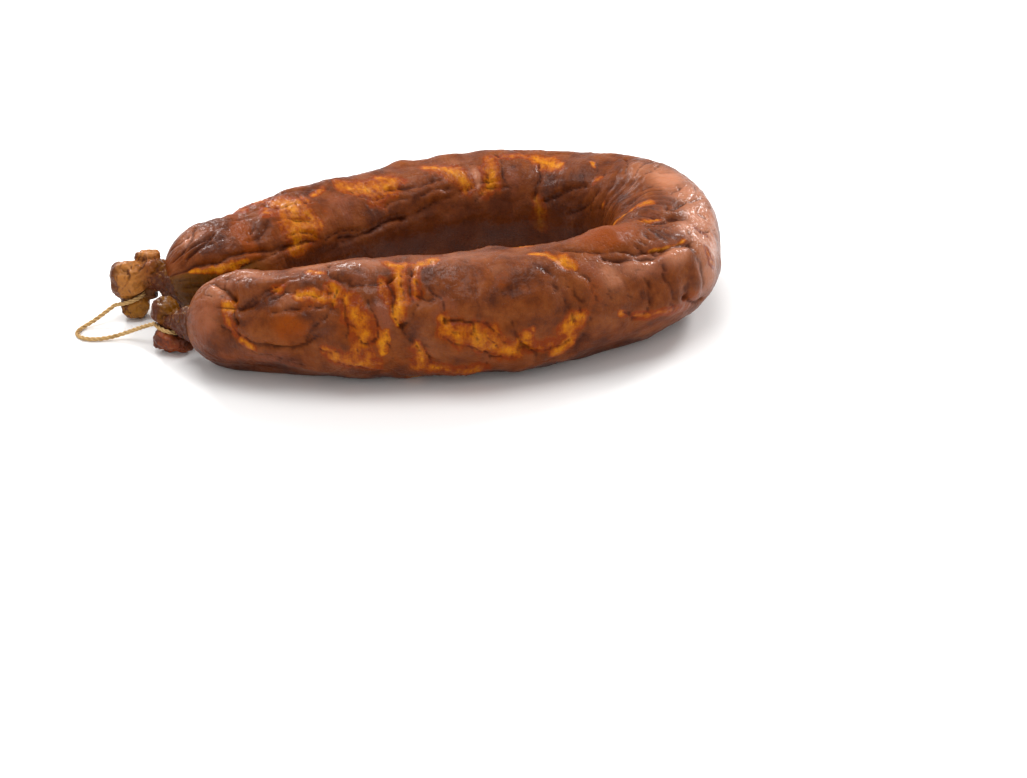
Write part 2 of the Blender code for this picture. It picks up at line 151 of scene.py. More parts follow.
# Thin creases that the photo shows: pixels marked along the line, then depth and half width in mm
CREASES_IN_PHOTO = [
    # Back limb, from its dome to the bend
    ([(165, 256), (171, 248), (179, 241), (188, 234)], 1.5, 1.3),
    ([(174, 260), (182, 251), (188, 242), (193, 232), (196, 225)], 1.8, 1.4),
    ([(187, 260), (195, 252), (203, 245), (209, 238)], 1.4, 1.3),
    ([(214, 223), (230, 221), (248, 218), (263, 217)], 0.5, 0.7),
    ([(268, 221), (266, 231), (261, 238), (250, 242)], 0.9, 0.9),
    ([(258, 221), (254, 227), (251, 233)], 0.8, 0.7),
    ([(266, 207), (282, 209), (300, 206), (311, 203)], 0.6, 0.5),
    ([(270, 222), (284, 218), (298, 222), (311, 222)], 0.5, 0.5),
    ([(286, 238), (300, 234), (314, 234), (322, 238)], 0.6, 0.5),
    ([(284, 198), (300, 194), (316, 191), (330, 189)], 0.5, 0.6),
    ([(326, 239), (344, 231), (358, 228)], 0.8, 0.7),
    ([(342, 240), (360, 234), (376, 229), (390, 222), (406, 217)], 1.1, 0.9),
    ([(388, 190), (408, 187), (426, 184), (440, 180)], 1.0, 1.0),
    ([(420, 194), (436, 190), (450, 187)], 0.8, 0.8),
    ([(386, 206), (396, 203), (406, 198)], 0.7, 0.7),
    ([(350, 190), (362, 196), (376, 198), (388, 196)], 0.5, 0.5),
    # Bend: pleats on its inner side, lobes on its top and right
    ([(626, 160), (627, 168), (624, 174)], 0.8, 0.7),
    ([(636, 176), (644, 168), (655, 163), (668, 165), (678, 172)], 0.8, 0.9),
    ([(642, 182), (650, 174), (662, 170)], 0.5, 0.7),
    ([(628, 203), (637, 195), (648, 190), (670, 188)], 0.7, 0.7),
    ([(671, 191), (676, 189), (682, 187)], 0.7, 0.6),
    ([(690, 185), (693, 190), (694, 196)], 0.6, 0.6),
    ([(671, 206), (679, 203), (688, 200), (699, 199)], 1.3, 0.9),
    ([(665, 204), (668, 208), (673, 209)], 0.8, 0.7),
    ([(640, 218), (655, 220), (668, 219), (680, 217)], 1.2, 1.0),
    ([(648, 223), (662, 225), (675, 224)], 0.7, 0.7),
    ([(606, 255), (620, 257), (634, 256), (646, 256), (655, 258)], 1.6, 1.2),
    ([(655, 252), (660, 255), (666, 252)], 1.4, 1.2),
    ([(660, 249), (670, 249), (680, 247), (690, 247)], 1.5, 1.1),
    ([(641, 240), (649, 245), (657, 250)], 0.8, 0.6),
    ([(646, 233), (654, 240), (663, 246)], 0.8, 0.6),
    ([(651, 228), (658, 235), (668, 243)], 0.7, 0.6),
    ([(657, 227), (666, 233), (676, 240)], 0.6, 0.5),
    ([(634, 244), (643, 249), (652, 253)], 0.7, 0.6),
    ([(692, 231), (694, 240), (692, 248)], 1.1, 0.9),
    ([(693, 249), (694, 257), (698, 269), (703, 283)], 1.2, 1.0),
    ([(699, 206), (700, 216), (706, 219)], 0.6, 0.6),
    ([(700, 230), (708, 231), (714, 230)], 0.6, 0.6),
    ([(684, 299), (690, 305), (699, 303), (706, 296)], 1.2, 1.0),
    ([(685, 286), (688, 294), (685, 301)], 0.9, 0.9),
    ([(667, 266), (666, 274), (669, 284), (674, 292)], 1.0, 0.9),
    ([(650, 282), (651, 294), (650, 306), (646, 315)], 0.9, 0.9),
    ([(675, 292), (671, 302), (672, 310)], 0.8, 0.8),
    ([(628, 313), (634, 318), (640, 317)], 0.8, 0.7),
    # Right end of the front limb, where the crinkled casing has fine slanting folds
    ([(607, 261), (608, 271), (612, 281)], 0.4, 0.7),
    ([(613, 262), (618, 272), (624, 282)], 0.4, 0.7),
    ([(622, 262), (628, 270), (636, 279)], 0.35, 0.7),
    ([(632, 262), (639, 270), (648, 279)], 0.35, 0.7),
    ([(644, 266), (651, 273), (657, 276)], 0.3, 0.7),
    ([(598, 299), (606, 304), (615, 311)], 0.5, 0.8),
    ([(606, 284), (612, 290), (622, 295), (630, 296)], 0.4, 0.8),
    ([(547, 270), (555, 284), (563, 297), (572, 309), (578, 321)], 0.8, 1.1),
    ([(562, 274), (571, 285), (579, 297), (583, 310)], 0.6, 1.0),
    ([(581, 268), (590, 282), (598, 296)], 0.6, 1.0),
    ([(590, 322), (586, 334), (578, 345)], 0.7, 1.0),
    ([(526, 351), (540, 353), (556, 351), (569, 345)], 0.9, 1.1),
    ([(511, 324), (516, 334), (520, 344), (519, 355)], 1.2, 1.4),
    # Round the large piece of crumpled fat, and the faint lines of the smooth meat above it
    ([(448, 320), (462, 321), (476, 322), (490, 325), (500, 333), (507, 342)], 0.9, 0.7),
    ([(445, 336), (456, 344), (470, 348), (480, 353), (490, 361), (504, 360)], 0.8, 0.7),
    ([(470, 322), (475, 332), (478, 343)], 0.8, 0.6),
    ([(484, 331), (492, 338), (500, 346)], 0.6, 0.5),
    ([(452, 330), (462, 334), (472, 333)], 0.6, 0.5),
    ([(428, 290), (438, 300), (444, 312), (447, 322)], 0.9, 0.8),
    ([(430, 262), (434, 274), (435, 284)], 0.3, 0.5),
    ([(474, 276), (477, 290), (478, 306)], 0.3, 0.5),
    ([(508, 286), (516, 296), (524, 304)], 0.3, 0.5),
    # Round the narrow upright piece of fat
    ([(395, 272), (394, 290), (396, 308), (402, 326)], 0.7, 0.5),
    ([(415, 266), (410, 278), (409, 292), (412, 302)], 1.1, 0.65),
    ([(406, 266), (403, 280), (404, 300)], 0.6, 0.5),
    ([(416, 278), (420, 290), (416, 306), (409, 322), (403, 328)], 0.7, 0.6),
    ([(391, 274), (392, 288), (390, 300)], 0.6, 0.5),
    ([(402, 328), (408, 338), (416, 346), (419, 352)], 0.9, 0.7),
    ([(416, 294), (422, 299), (430, 300)], 1.0, 0.9),
    ([(424, 341), (426, 354), (431, 367)], 0.7, 0.7),
    # The pale lobe on top and the fat below it
    ([(331, 262), (329, 270), (332, 276), (340, 281), (347, 283)], 1.1, 0.9),
    ([(347, 284), (360, 286), (374, 284), (386, 280), (393, 275)], 1.0, 0.9),
    ([(336, 288), (337, 297), (332, 306), (324, 315), (315, 326)], 0.9, 0.8),
    ([(346, 292), (346, 310), (347, 326), (343, 340)], 0.8, 0.7),
    ([(366, 300), (372, 314), (377, 330), (375, 342)], 0.8, 0.7),
    ([(350, 328), (356, 338), (364, 344), (374, 341)], 0.7, 0.6),
    ([(384, 335), (386, 346), (392, 354)], 0.7, 0.7),
    ([(318, 350), (330, 356), (340, 352)], 0.5, 0.5),
    # Front dome: lobes that meet in a star
    ([(229, 294), (232, 300), (237, 305), (253, 304), (262, 300), (270, 294), (277, 287)], 1.3, 1.7),
    ([(222, 286), (226, 291), (231, 297)], 1.6, 1.6),
    ([(222, 288), (215, 284), (206, 286), (198, 290)], 1.0, 1.2),
    ([(221, 296), (213, 298), (206, 295), (201, 290)], 1.0, 1.1),
    ([(223, 284), (228, 279), (236, 277), (246, 276)], 1.0, 1.2),
    ([(231, 297), (233, 289), (239, 283), (246, 279)], 1.1, 1.3),
    ([(231, 308), (234, 315), (237, 324)], 0.9, 0.7),
    ([(238, 309), (236, 317), (239, 322)], 0.7, 0.6),
    (
        [(236, 330), (243, 337), (252, 341), (264, 344), (277, 348), (290, 350), (300, 347), (307, 340)],
        0.9,
        0.9,
    ),
    ([(307, 340), (312, 331), (316, 322), (322, 314)], 0.9, 0.9),
    ([(250, 351), (262, 357), (276, 362), (292, 366), (308, 369)], 0.5, 0.6),
    ([(270, 300), (278, 295), (284, 290), (291, 289)], 0.9, 0.8),
    ([(272, 313), (281, 310), (290, 307), (300, 305)], 0.8, 0.7),
    ([(292, 306), (304, 305), (316, 304), (328, 301)], 0.6, 0.6),
    ([(290, 292), (302, 295), (316, 294), (330, 290)], 0.5, 0.5),
]
# To place them, the plain skin is seen in rings 1 degree apart. Pixels this close hide each other
SIGHT_RINGS = 1100
SIGHT_REACH = 2.5
# A point is taken a little farther from the camera if it lies nearer to the pixel: metres for each pixel
SIGHT_SLACK = 0.002
OUT_OF_REACH = 10.0

# Fat that shows through the casing: how red it is, then its line as stations, angles and half widths in mm
FAT = [
    (0.30, [(40.5, 87, 4.2), (42, 104, 6.4), (42.5, 122, 7.4), (40.5, 140, 6.2), (38.5, 151, 3.6)]),
    (0.75, [(35.5, 90, 2.6), (34.5, 100, 2.4)]),
    (0.10, [(6, 149, 1.0), (13, 152, 2.0), (18, 153, 2.3), (22, 152, 1.0)]),
    (0.50, [(52, 92, 1.4), (57, 90, 1.2)]),
    (0.45, [(62.5, 89, 2.2), (66.5, 103, 4.4), (71.5, 115, 5.8), (76.5, 117, 4.6), (79.5, 108, 3.8), (76, 99, 2.6)]),
    (0.35, [(94, 95, 3.0), (98, 105, 4.6), (102, 117, 4.6), (105.5, 136, 3.4)]),
    (0.40, [(116.5, 104, 2.8), (115.5, 119, 4.0), (115.5, 137, 3.6), (112.5, 143, 2.4)]),
    (0.65, [(119, 99, 1.8), (127, 93, 1.8)]),
    (0.20, [(132, 99, 3.4), (137, 105, 4.2), (141, 110, 2.8)]),
    (0.40, [(134, 155, 3.0), (135, 168, 4.2), (136.5, 182, 3.4)]),
    (0.30, [(154, 102, 1.1), (156, 108, 0.9)]),
    (0.50, [(161.5, 124, 1.5), (160.5, 131, 1.2)]),
    (0.60, [(171, 149, 1.4)]),
    (0.25, [(203.4, 106, 2.4), (205.0, 113, 3.2), (206.5, 122, 2.8), (207.2, 129, 2.2)]),
    (0.30, [(208, 126, 1.6), (207, 133, 2.2), (206, 141, 1.8), (212, 144, 2.2), (216, 151, 1.6)]),
    (0.20, [(229, 58, 0.5), (223, 53.5, 0.7), (217, 49, 0.6)]),
    (0.30, [(219, 95, 1.3), (214, 86, 1.0)]),
    (0.80, [(209, 51, 0.7), (208, 42, 1.0)]),
    (0.80, [(213, 33, 0.9), (214, 22, 0.8), (211, 14, 0.6)]),
    (0.90, [(238, 2, 1.2), (232, -4, 1.6), (226, -7, 1.8)]),
    (0.40, [(240.5, 5, 1.1)]),
    (0.10, [(261.5, 86, 1.0), (257, 76, 1.8), (254, 68, 2.7), (251.5, 61, 2.0)]),
    (0.45, [(254, 8, 3.4), (251.5, 13, 2.0), (256.5, -1, 3.2)]),
    (0.20, [(256, -11, 2.4), (257.5, -26, 2.8)]),
    (0.95, [(260.5, -14, 2.6), (267, -15, 2.4)]),
    (0.30, [(265.5, 8, 1.1)]),
    (0.42, [(288.8, 25, 1.6), (287, 13, 3.4), (283, 7, 4.3), (279, 4, 4.6), (276, -4, 4.6), (273.5, -13, 4.3),
            (270, -14, 3.8), (268, -5, 2.7), (267.3, 3, 2.2)]),
    (0.60, [(292.5, -31, 2.4), (286, -36, 3.0), (279, -40, 3.2)]),
    (0.40, [(296, 2, 1.5), (296, -10, 2.7), (295, -26, 3.2)]),
    (0.15, [(294.6, 82, 2.2), (291, 87, 2.8)]),
    (0.35, [(303.5, 85, 2.0), (299.5, 82, 2.6), (300.3, 72, 2.5), (300.2, 56, 2.6), (300.2, 40, 2.3), (300.5, 28, 1.7),
            (300.8, 19, 0.7)]),
    (0.75, [(304.8, 66, 1.5), (304.8, 52, 1.8), (303.8, 42, 1.2)]),
    (0.75, [(295.8, 72, 1.2), (295.8, 60, 1.7), (296.4, 46, 1.4)]),
    (0.10, [(304.4, 14, 1.2), (306, 4, 1.8), (305, -8, 1.2)]),
    (0.55, [(314, 50, 1.5), (313.5, 38, 3.4), (312.5, 25, 4.6), (311, 12, 4.6), (311.4, 3, 3.0)]),
    (0.62, [(319, 62, 1.8), (317.5, 54, 2.4), (316.4, 44, 1.8)]),
    (0.50, [(321, -4, 1.6), (318, -12, 3.0), (313, -18, 4.5), (309, -22, 3.4), (308.5, -8, 2.4)]),
    (0.18, [(329, 56, 1.4), (325, 54, 2.4), (320.5, 52, 2.3)]),
    (0.10, [(349.2, 51, 2.2), (348.4, 44, 1.9)]),
    (0.95, [(348.5, 38, 1.3), (347.3, 28, 1.3), (345, 14, 1.6)]),
    (0.25, [(343.2, 8, 1.8), (341.6, 1, 1.4)]),
    (0.50, [(333, 66, 2.2)]),
    (0.40, [(325.5, 84, 1.5), (321, 80, 1.3)]),
]
STRAY_FAT = 46

# Patches where the meat itself differs: station, angle, half length, half width round the sausage, strength
AMBER_MEAT = [
    (24.5, 122, 4.0, 13.0, 0.9),
    (105, 125, 6.0, 6.0, 0.5),
    (236, 90, 13.0, 6.5, 0.9),
    (222, -6, 7.0, 5.0, 0.7),
    (248, 40, 5.0, 8.0, 0.5),
    (262, -10, 6.0, 5.0, 0.6),
    (276, 62, 14.0, 9.0, 0.35),
    (307, -14, 12.0, 7.0, 0.4),
    (330, 22, 7.0, 5.0, 0.8),
    (326, 44, 6.0, 5.0, 0.5),
]
PURPLE_MEAT = [
    (58, 120, 8.0, 9.0, 0.6),
    (124, 128, 5.0, 9.0, 0.6),
    (214, 92, 8.0, 7.0, 0.5),
    (228, 47, 12.0, 5.5, 0.9),
    (246, 52, 6.0, 8.0, 0.6),
    (272, -22, 16.0, 5.0, 0.5),
    (289, 34, 5.0, 8.0, 0.6),
    (305, 28, 3.6, 8.0, 1.0),
    (310, 66, 6.0, 4.0, 0.6),
    (322, 18, 4.0, 10.0, 0.3),
    (340, -20, 18.0, 8.0, 0.55),
    (356, 30, 7.0, 16.0, 0.7),
    (350, 78, 9.0, 6.0, 0.4),
]
# Places where the casing is finely crinkled and catches the light, in the same form
CRINKLES = [
    (12, 110, 9.0, 8.0, 0.5),
    (29, 118, 3.0, 8.0, 0.9),
    (84, 158, 8.0, 5.0, 0.7),
    (132, 128, 5.0, 7.0, 0.8),
    (158, 120, 10.0, 8.0, 0.6),
    (194, 60, 13.0, 12.0, 1.0),
    (210, 36, 11.0, 13.0, 0.9),
    (229, 48, 13.0, 6.0, 1.0),
    (247, 45, 7.0, 12.0, 0.8),
    (258, 42, 4.0, 9.0, 0.9),
    (288, 40, 6.0, 12.0, 0.6),
    (309, 58, 6.0, 5.0, 0.9),
    (326, 52, 9.0, 5.0, 0.5),
    (346, 36, 5.0, 5.0, 0.9),
    (352, 70, 10.0, 8.0, 0.7),
]

# The gathered casing from each dome to its tie: points of its middle line and the radius there
BACK_FUNNEL = [(-62, -7.5, 12.4, 10.5), (-75.5, -9, 12.3, 7.8), (-82.5, -7.5, 13.3, 4.4), (-91, -7, 13.0, 3.8)]
FRONT_FUNNEL = [(-60, -38, 12.0, 9.0), (-69.5, -34, 11.0, 4.8), (-73.5, -31.0, 10.0, 3.4), (-77, -28, 9.4, 3.0)]

# The folded casing tails beyond the ties: middle and three radii of each lobe, and its colour's name
BACK_LOBES = [
    (-92.3, -7.5, 12.4, 6.8, 5.6, 6.9, "tan"),
    (-91.4, -8.8, 4.3, 4.8, 4.6, 4.3, "brown"),
    (-84.6, -6.4, 14.6, 5.0, 4.4, 4.8, "ruddy"),
    (-86.6, -3.7, 19.2, 4.2, 2.7, 1.9, "tan"),
    (-86.4, -8.0, 8.4, 2.7, 2.4, 2.2, "dark"),
]
FRONT_LOBES = [
    (-77.2, -28.0, 11.0, 4.4, 4.6, 5.4, "olive"),
    (-74.6, -31.3, 4.4, 6.9, 5.0, 4.4, "ruddy"),
]

# Each tie: middle of its ring, two radii in plan, and how far it rises along X in degrees
BACK_TIE = ((-92.3, -8.2, 7.5), (4.5, 4.2), 18.0)
FRONT_TIE = ((-75.0, -29.4, 7.8), (4.9, 4.3), -12.0)
TIE_TURNS = 2

# The loop of twine between the ties, as in the frame's solid
LOOP_ROUTE = [
    (-97.0, -11.4, 5.7),
    (-99.9, -13.0, 4.0),
    (-103.6, -15.2, 1.9),
    (-106.8, -18.2, 0.8),
    (-107.5, -21.9, 0.75),
    (-104.8, -24.8, 0.75),
    (-100.2, -25.6, 0.8),
    (-95.2, -24.8, 1.3),
    (-90.0, -24.6, 3.0),
    (-85.4, -26.2, 5.4),
    (-81.1, -28.1, 7.6),
]
TWINE_LIFT = 0.05

# Swellings and hollows that only the casing has, in the same form as the chunks that stand out
SKIN_SWELLINGS = [
    (45, 66, 40.0, 10.0, 2.0),
    (98, 88, 14.0, 9.0, -1.3),
    (118, 118, 3.0, 7.0, 0.8),
    (110, 132, 2.6, 7.0, 0.8),
    (172, 76, 11.0, 11.0, 1.9),
    (193, 45, 8.0, 8.0, 1.3),
    (206, 16, 9.0, 10.0, 0.9),
    (219, 17, 3.0, 6.0, 0.9),
    (219, 54, 4.5, 2.6, 0.9),
    (223, 42, 3.6, 3.6, 1.3),
    (226, 18, 3.0, 8.0, 0.6),
    (213, -30, 9.0, 8.0, 0.9),
    (234, -42, 18.0, 10.0, -2.2),
    (309, 79, 6.5, 6.0, 0.8),
    (333, 21, 7.0, 5.5, 0.8),
    (341, 69, 6.0, 5.5, 1.2),
    (340, -46, 16.0, 10.0, -1.9),
    (354, 26, 5.0, 7.0, 0.6),
    (355, 64, 3.2, 4.5, 0.9),
    (354, 92, 3.6, 4.5, 0.7),
]

# Places where the casing shines most, which a pinkish painted sheen lightens, in the same form as the meat's patches
SHEEN = [
    (9, 92, 5.0, 5.0, 0.7),
    (110, 130, 3.0, 6.0, 0.8),
    (176, 96, 8.0, 6.0, 0.6),
    (184, 84, 9.0, 7.0, 0.9),
    (193, 64, 8.0, 7.0, 0.9),
    (202, 50, 7.0, 8.0, 1.0),
    (209, 34, 7.0, 7.0, 1.0),
    (211, 57, 5.0, 4.0, 0.8),
    (214, 14, 5.0, 8.0, 0.7),
    (222, 43, 3.6, 3.4, 1.0),
    (232, 46, 7.0, 4.0, 0.6),
    (242, 46, 4.0, 5.0, 0.7),
    (280, 86, 16.0, 6.0, 0.35),
    (310, 84, 9.0, 5.0, 0.5),
    (325, 99, 8.0, 4.0, 0.5),
    (331, 52, 4.0, 4.0, 0.4),
    (340, 84, 6.0, 5.0, 0.4),
    (346, 92, 6.0, 4.0, 0.6),
    (353, 66, 4.0, 5.0, 0.8),
    (352, 104, 5.0, 6.0, 0.7),
    (355, 30, 6.0, 8.0, 0.35),
    (359, 96, 4.0, 6.0, 0.7),
]

# The pleated part of the back dome, where the casing runs out to its tie
GATHER_START = 34.0
GATHER_ANGLE = 200.0
GATHER_HALF = 18.0

SKIN_STATIONS = 580
SKIN_SIDES = 170
END_CROWDING = 1.7


def linear(colour):
    """An sRGB hex colour as linear red, green and blue."""
    parts = [int(colour[i : i + 2], 16) / 255 for i in (1, 3, 5)]
    return tuple(p / 12.92 if p <= 0.04045 else ((p + 0.055) / 1.055) ** 2.4 for p in parts)


def colour_choice(name, description, value):
    """A colour property whose default is an sRGB hex value."""
    return bpy.props.FloatVectorProperty(
        name=name, description=description, subtype="COLOR", size=3, min=0, max=1, default=linear(value)
    )


class SausageLooks(bpy.types.PropertyGroup):
    """Colours and surface of the meat, fat and casing."""

    lean: colour_choice("Lean meat", "Cured lean meat through the casing", "#6C320E")
    # Also the colour of the painted shade on the inner sides and the underside
    lean_dark_and_shade: colour_choice("Dark meat", "The darker pieces of lean meat", "#4C200A")
    # Also the colour of the painted highlight on what stands proud
    lean_light_and_highlight: colour_choice("Light meat", "The paler pieces of lean meat", "#82441C")
    amber: colour_choice("Amber meat", "Meat that oily fat has coloured", "#843A04")
    purple: colour_choice("Purple meat", "Drier, purplish meat under the casing", "#84462C")
    # The colour of the painted sheen where the casing shines most
    pale: colour_choice("Pale meat", "Meat under tight, pinkish casing", "#C07A56")
    fat: colour_choice("Fat", "Fat stained by paprika", "#A65404")
    fat_yellow: colour_choice("Yellow fat", "The palest pieces of fat", "#CC7E0C")
    fat_red: colour_choice("Red fat", "Fat next to the spiced meat", "#7E3002")
    olive: colour_choice("Drawn-out casing", "Empty casing that runs out to the back tie", "#5E3A0C")
    # The colour of the painted shade in the folds and creases
    crease: colour_choice("Crease", "The bottom of the folds", "#361004")
    roughness: bpy.props.FloatProperty(
        name="Roughness", description="Roughness of the oily casing", default=0.34, min=0, max=1
    )
    crumple: bpy.props.FloatProperty(
        name="Crumple", description="Height of the crumpled fat's ridges", default=0.00028, unit="LENGTH"
    )
    wrinkle: bpy.props.FloatProperty(
        name="Wrinkle", description="Height of the wrinkles that run round the casing", default=0.00016, unit="LENGTH"
    )


class CasingEndLooks(bpy.types.PropertyGroup):
    """Colours of the gathered casing past the meat."""

    tan: colour_choice("Tan", "Thick dry casing", "#AC6E32")
    brown: colour_choice("Brown", "Oily folded casing", "#8E5C1A")
    ruddy: colour_choice("Ruddy", "Casing with meat paste in it", "#843C1C")
    olive: colour_choice("Olive", "Thin yellowish casing", "#6A3E02")
    # The colour of the painted shade on the sides of the ends that face away from the sausage
    plum_shade: colour_choice("Plum", "Casing that has dried dark", "#4C2216")
    # Also the colour of the painted shade in the folds and under the ties
    dark: colour_choice("Dark", "Casing in the deep folds", "#3C1A0C")
    voxel: bpy.props.FloatProperty(
        name="Detail", description="Size of the voxels that the lobes are fused with", default=0.00026, unit="LENGTH"
    )


class TwineLooks(bpy.types.PropertyGroup):
    """Sizes and colours of the twine."""

    diameter: bpy.props.FloatProperty(name="Diameter", description="Over its plies", default=0.0014, unit="LENGTH")
    lay: bpy.props.FloatProperty(
        name="Lay", description="Length in which the plies make one turn", default=0.0052, unit="LENGTH"
    )
    fibre: bpy.props.FloatProperty(
        name="Fibre", description="Length of the loose fibres", default=0.0011, unit="LENGTH"
    )
    colour: colour_choice("Twine", "Undyed cotton, yellowed by fat", "#CFA86E")
    stain: colour_choice("Stain", "Where fat has soaked in", "#A27A42")


class StudioLooks(bpy.types.PropertyGroup):
    """The floor, lights and camera."""

    lens: bpy.props.FloatProperty(name="Lens", description="Focal length in mm", default=PHOTO_LENS)
    pitch: bpy.props.FloatProperty(
        name="Pitch", description="How far the camera looks down", default=math.radians(PHOTO_PITCH), subtype="ANGLE"
    )
    camera: bpy.props.FloatVectorProperty(
        name="Camera", description="Where the camera stands", default=PHOTO_CAMERA, subtype="TRANSLATION"
    )
    floor: colour_choice("Floor", "Plain pale floor", "#F4F3F2")
    sky: bpy.props.FloatProperty(name="Sky", description="Strength of the plain white surroundings", default=0.77)
    key: bpy.props.FloatProperty(name="Key", description="Power of the light behind on the right", default=2.0)
    back: bpy.props.FloatProperty(name="Back", description="Power of the light behind on the left", default=2.2)
    top: bpy.props.FloatProperty(name="Top", description="Power of the large light overhead", default=3.4)


def spline_through(points, count, crowding=1.0):
    """Points on the natural cubic spline through the given rows, spread evenly along it but closer at its ends."""
    rows = np.array(points, float)
    knots = np.concatenate([[0.0], np.cumsum(np.linalg.norm(np.diff(rows[:, :3], axis=0), axis=1))])
    gaps = np.diff(knots)
    size = len(rows)
    system = np.eye(size)
    wanted = np.zeros_like(rows)
    for i in range(1, size - 1):
        system[i, i - 1 : i + 2] = gaps[i - 1], 2 * (gaps[i - 1] + gaps[i]), gaps[i]
        wanted[i] = 6 * ((rows[i + 1] - rows[i]) / gaps[i] - (rows[i] - rows[i - 1]) / gaps[i - 1])
    bend = np.linalg.solve(system, wanted)

    def at(places):
        i = np.clip(np.searchsorted(knots, places, side="right") - 1, 0, size - 2)
        gap = gaps[i][:, None]
        after = (places - knots[i])[:, None]
        before = gap - after
        cubes = (bend[i] * before**3 + bend[i + 1] * after**3) / (6 * gap)
        starts = (rows[i] / gap - bend[i] * gap / 6) * before
        return cubes + starts + (rows[i + 1] / gap - bend[i + 1] * gap / 6) * after

    fine = np.linspace(0, knots[-1], 4000)
    steps = np.linalg.norm(np.diff(at(fine)[:, :3], axis=0), axis=1)
    lengths = np.concatenate([[0.0], np.cumsum(steps)])
    share = np.linspace(0, 1, count)
    share -= (1 - 1 / crowding) * np.sin(2 * math.pi * share) / (2 * math.pi)
    return at(np.interp(share * lengths[-1], lengths, fine)), share * lengths[-1]


def middle_line(count, crowding=1.0):
    """The sausage's middle line from tip to tip: points, body radii and stations."""
    half = CALIBRE / 2
    rows = [(x, y, SEAT * half * share, half * share) for x, y, share in BODY_LINE]
    line, stations = spline_through(rows, count, crowding)
    return line[:, :3], line[:, 3], stations


def axes_along(line):
    """Unit vectors along the middle line, outwards from the horseshoe, and up across it."""
    along = np.gradient(line, axis=0)
    along /= np.linalg.norm(along, axis=1)[:, None]
    out = np.cross([0.0, 0.0, 1.0], along)
    out /= np.linalg.norm(out, axis=1)[:, None]
    return along, out, np.cross(along, out)


def opening(distance):
    """How far the skin has opened from the tip of its dome, from 0 to 1."""
    left = 1 - np.clip(distance / DOME_LENGTH, 0, 1)
    return (1 - left**DOME_POWER) ** (1 / DOME_POWER)


def in_metres(points):
    """Points in mm as metres about the plan's centre."""
    return (np.asarray(points, float) - (*PLAN_CENTRE, 0.0)) * MM


def directions_round(line, angle):
    """Unit vectors square to the middle line, at angles in degrees round it."""
    _, out, up = axes_along(line)
    turn = np.radians(angle)[..., None]
    return np.cos(turn) * out[:, None, :] + np.sin(turn) * up[:, None, :]


def creases_in_photo():
    """The creases marked in the photo, as the stations and angles that its camera sees at their pixels."""
    angles = np.arange(360.0)
    line, radii, stations = middle_line(SIGHT_RINGS)
    around = directions_round(line, angles[None, :])
    opened = np.minimum(opening(stations), opening(stations[-1] - stations))
    radius = TIP_RADIUS + (radii - TIP_RADIUS) * opened
    from_camera = in_metres(line[:, None, :] + radius[:, None, None] * around) - PHOTO_CAMERA
    seen = (from_camera * around).sum(axis=-1) < 0
    ring, column = np.nonzero(seen)
    from_camera = from_camera[seen]
    pitch = math.radians(PHOTO_PITCH)
    ahead = from_camera @ (0.0, math.cos(pitch), -math.sin(pitch))
    above = from_camera @ (0.0, math.sin(pitch), math.cos(pitch))
    pixels = PHOTO_SIZE[0] * PHOTO_LENS / PHOTO_SENSOR / ahead
    across, down = PHOTO_SIZE[0] / 2 + from_camera[:, 0] * pixels, PHOTO_SIZE[1] / 2 - above * pixels

    def place_at(x, y):
        away = np.hypot(across - x, down - y)
        best = np.where(away < SIGHT_REACH, ahead + SIGHT_SLACK * away, OUT_OF_REACH + away).argmin()
        return stations[ring[best]], angles[column[best]]

    return [([place_at(x, y) for x, y in path], depth, half) for path, depth, half in CREASES_IN_PHOTO]


def round_mm(angle, other):
    """The distance in mm round the skin from one angle to another, the short way."""
    return ((angle - other + 180) % 360 - 180) * math.pi / 180 * CALIBRE / 2


def hump(station, angle, middle, turn, half_long, half_round):
    """A smooth mound of height 1 on the skin."""
    across = round_mm(angle, turn)
    return np.exp(-(((station - middle) / half_long) ** 2) - (across / half_round) ** 2)


def distance_to(path, station, angle):
    """The distance in mm over the skin to a line of stations and angles."""
    nearest = np.full(np.broadcast(station, angle).shape, np.inf)
    for (from_station, from_angle), (to_station, to_angle) in zip(path, path[1:]):
        x, y = station - from_station, round_mm(angle, from_angle)
        dx, dy = to_station - from_station, round_mm(to_angle, from_angle)
        t = np.clip((x * dx + y * dy) / (dx * dx + dy * dy), 0, 1)
        nearest = np.minimum(nearest, np.hypot(x - t * dx, y - t * dy))
    return nearest


def inside_stroke(stroke, station, angle):
    """1 on a stroke's line, 0 at its edge and less outside. The stroke's rows are station, angle and half width."""
    rows = stroke if len(stroke) > 1 else [stroke[0], stroke[0]]
    best = np.full(np.broadcast(station, angle).shape, -np.inf)
    for (from_station, from_angle, from_half), (to_station, to_angle, to_half) in zip(rows, rows[1:]):
        x, y = station - from_station, round_mm(angle, from_angle)
        dx, dy = to_station - from_station, round_mm(to_angle, from_angle)
        t = np.clip((x * dx + y * dy) / max(dx * dx + dy * dy, 1e-9), 0, 1)
        best = np.maximum(best, 1 - np.hypot(x - t * dx, y - t * dy) / (from_half + t * (to_half - from_half)))
    return best


def stray_folds(draw, length):
    """Short folds scattered over the outer side of the back limb and the inner side of the front one."""
    folds = []
    for number in range(STRAY_FOLDS):
        if number % 2:
            station, angle = draw.uniform(12, 0.5 * length), draw.uniform(-75, 55)
        else:
            station, angle = draw.uniform(0.62 * length, length - 14), draw.uniform(135, 215)
        run, turn, sway = draw.uniform(-9, 9), draw.uniform(18, 46), draw.uniform(-3, 3)
        path = [(station, angle), (station + run / 2 + sway, angle + turn / 2), (station + run, angle + turn)]
        folds.append((path, draw.uniform(0.7, 1.5), draw.uniform(1.4, 2.0)))
    return folds


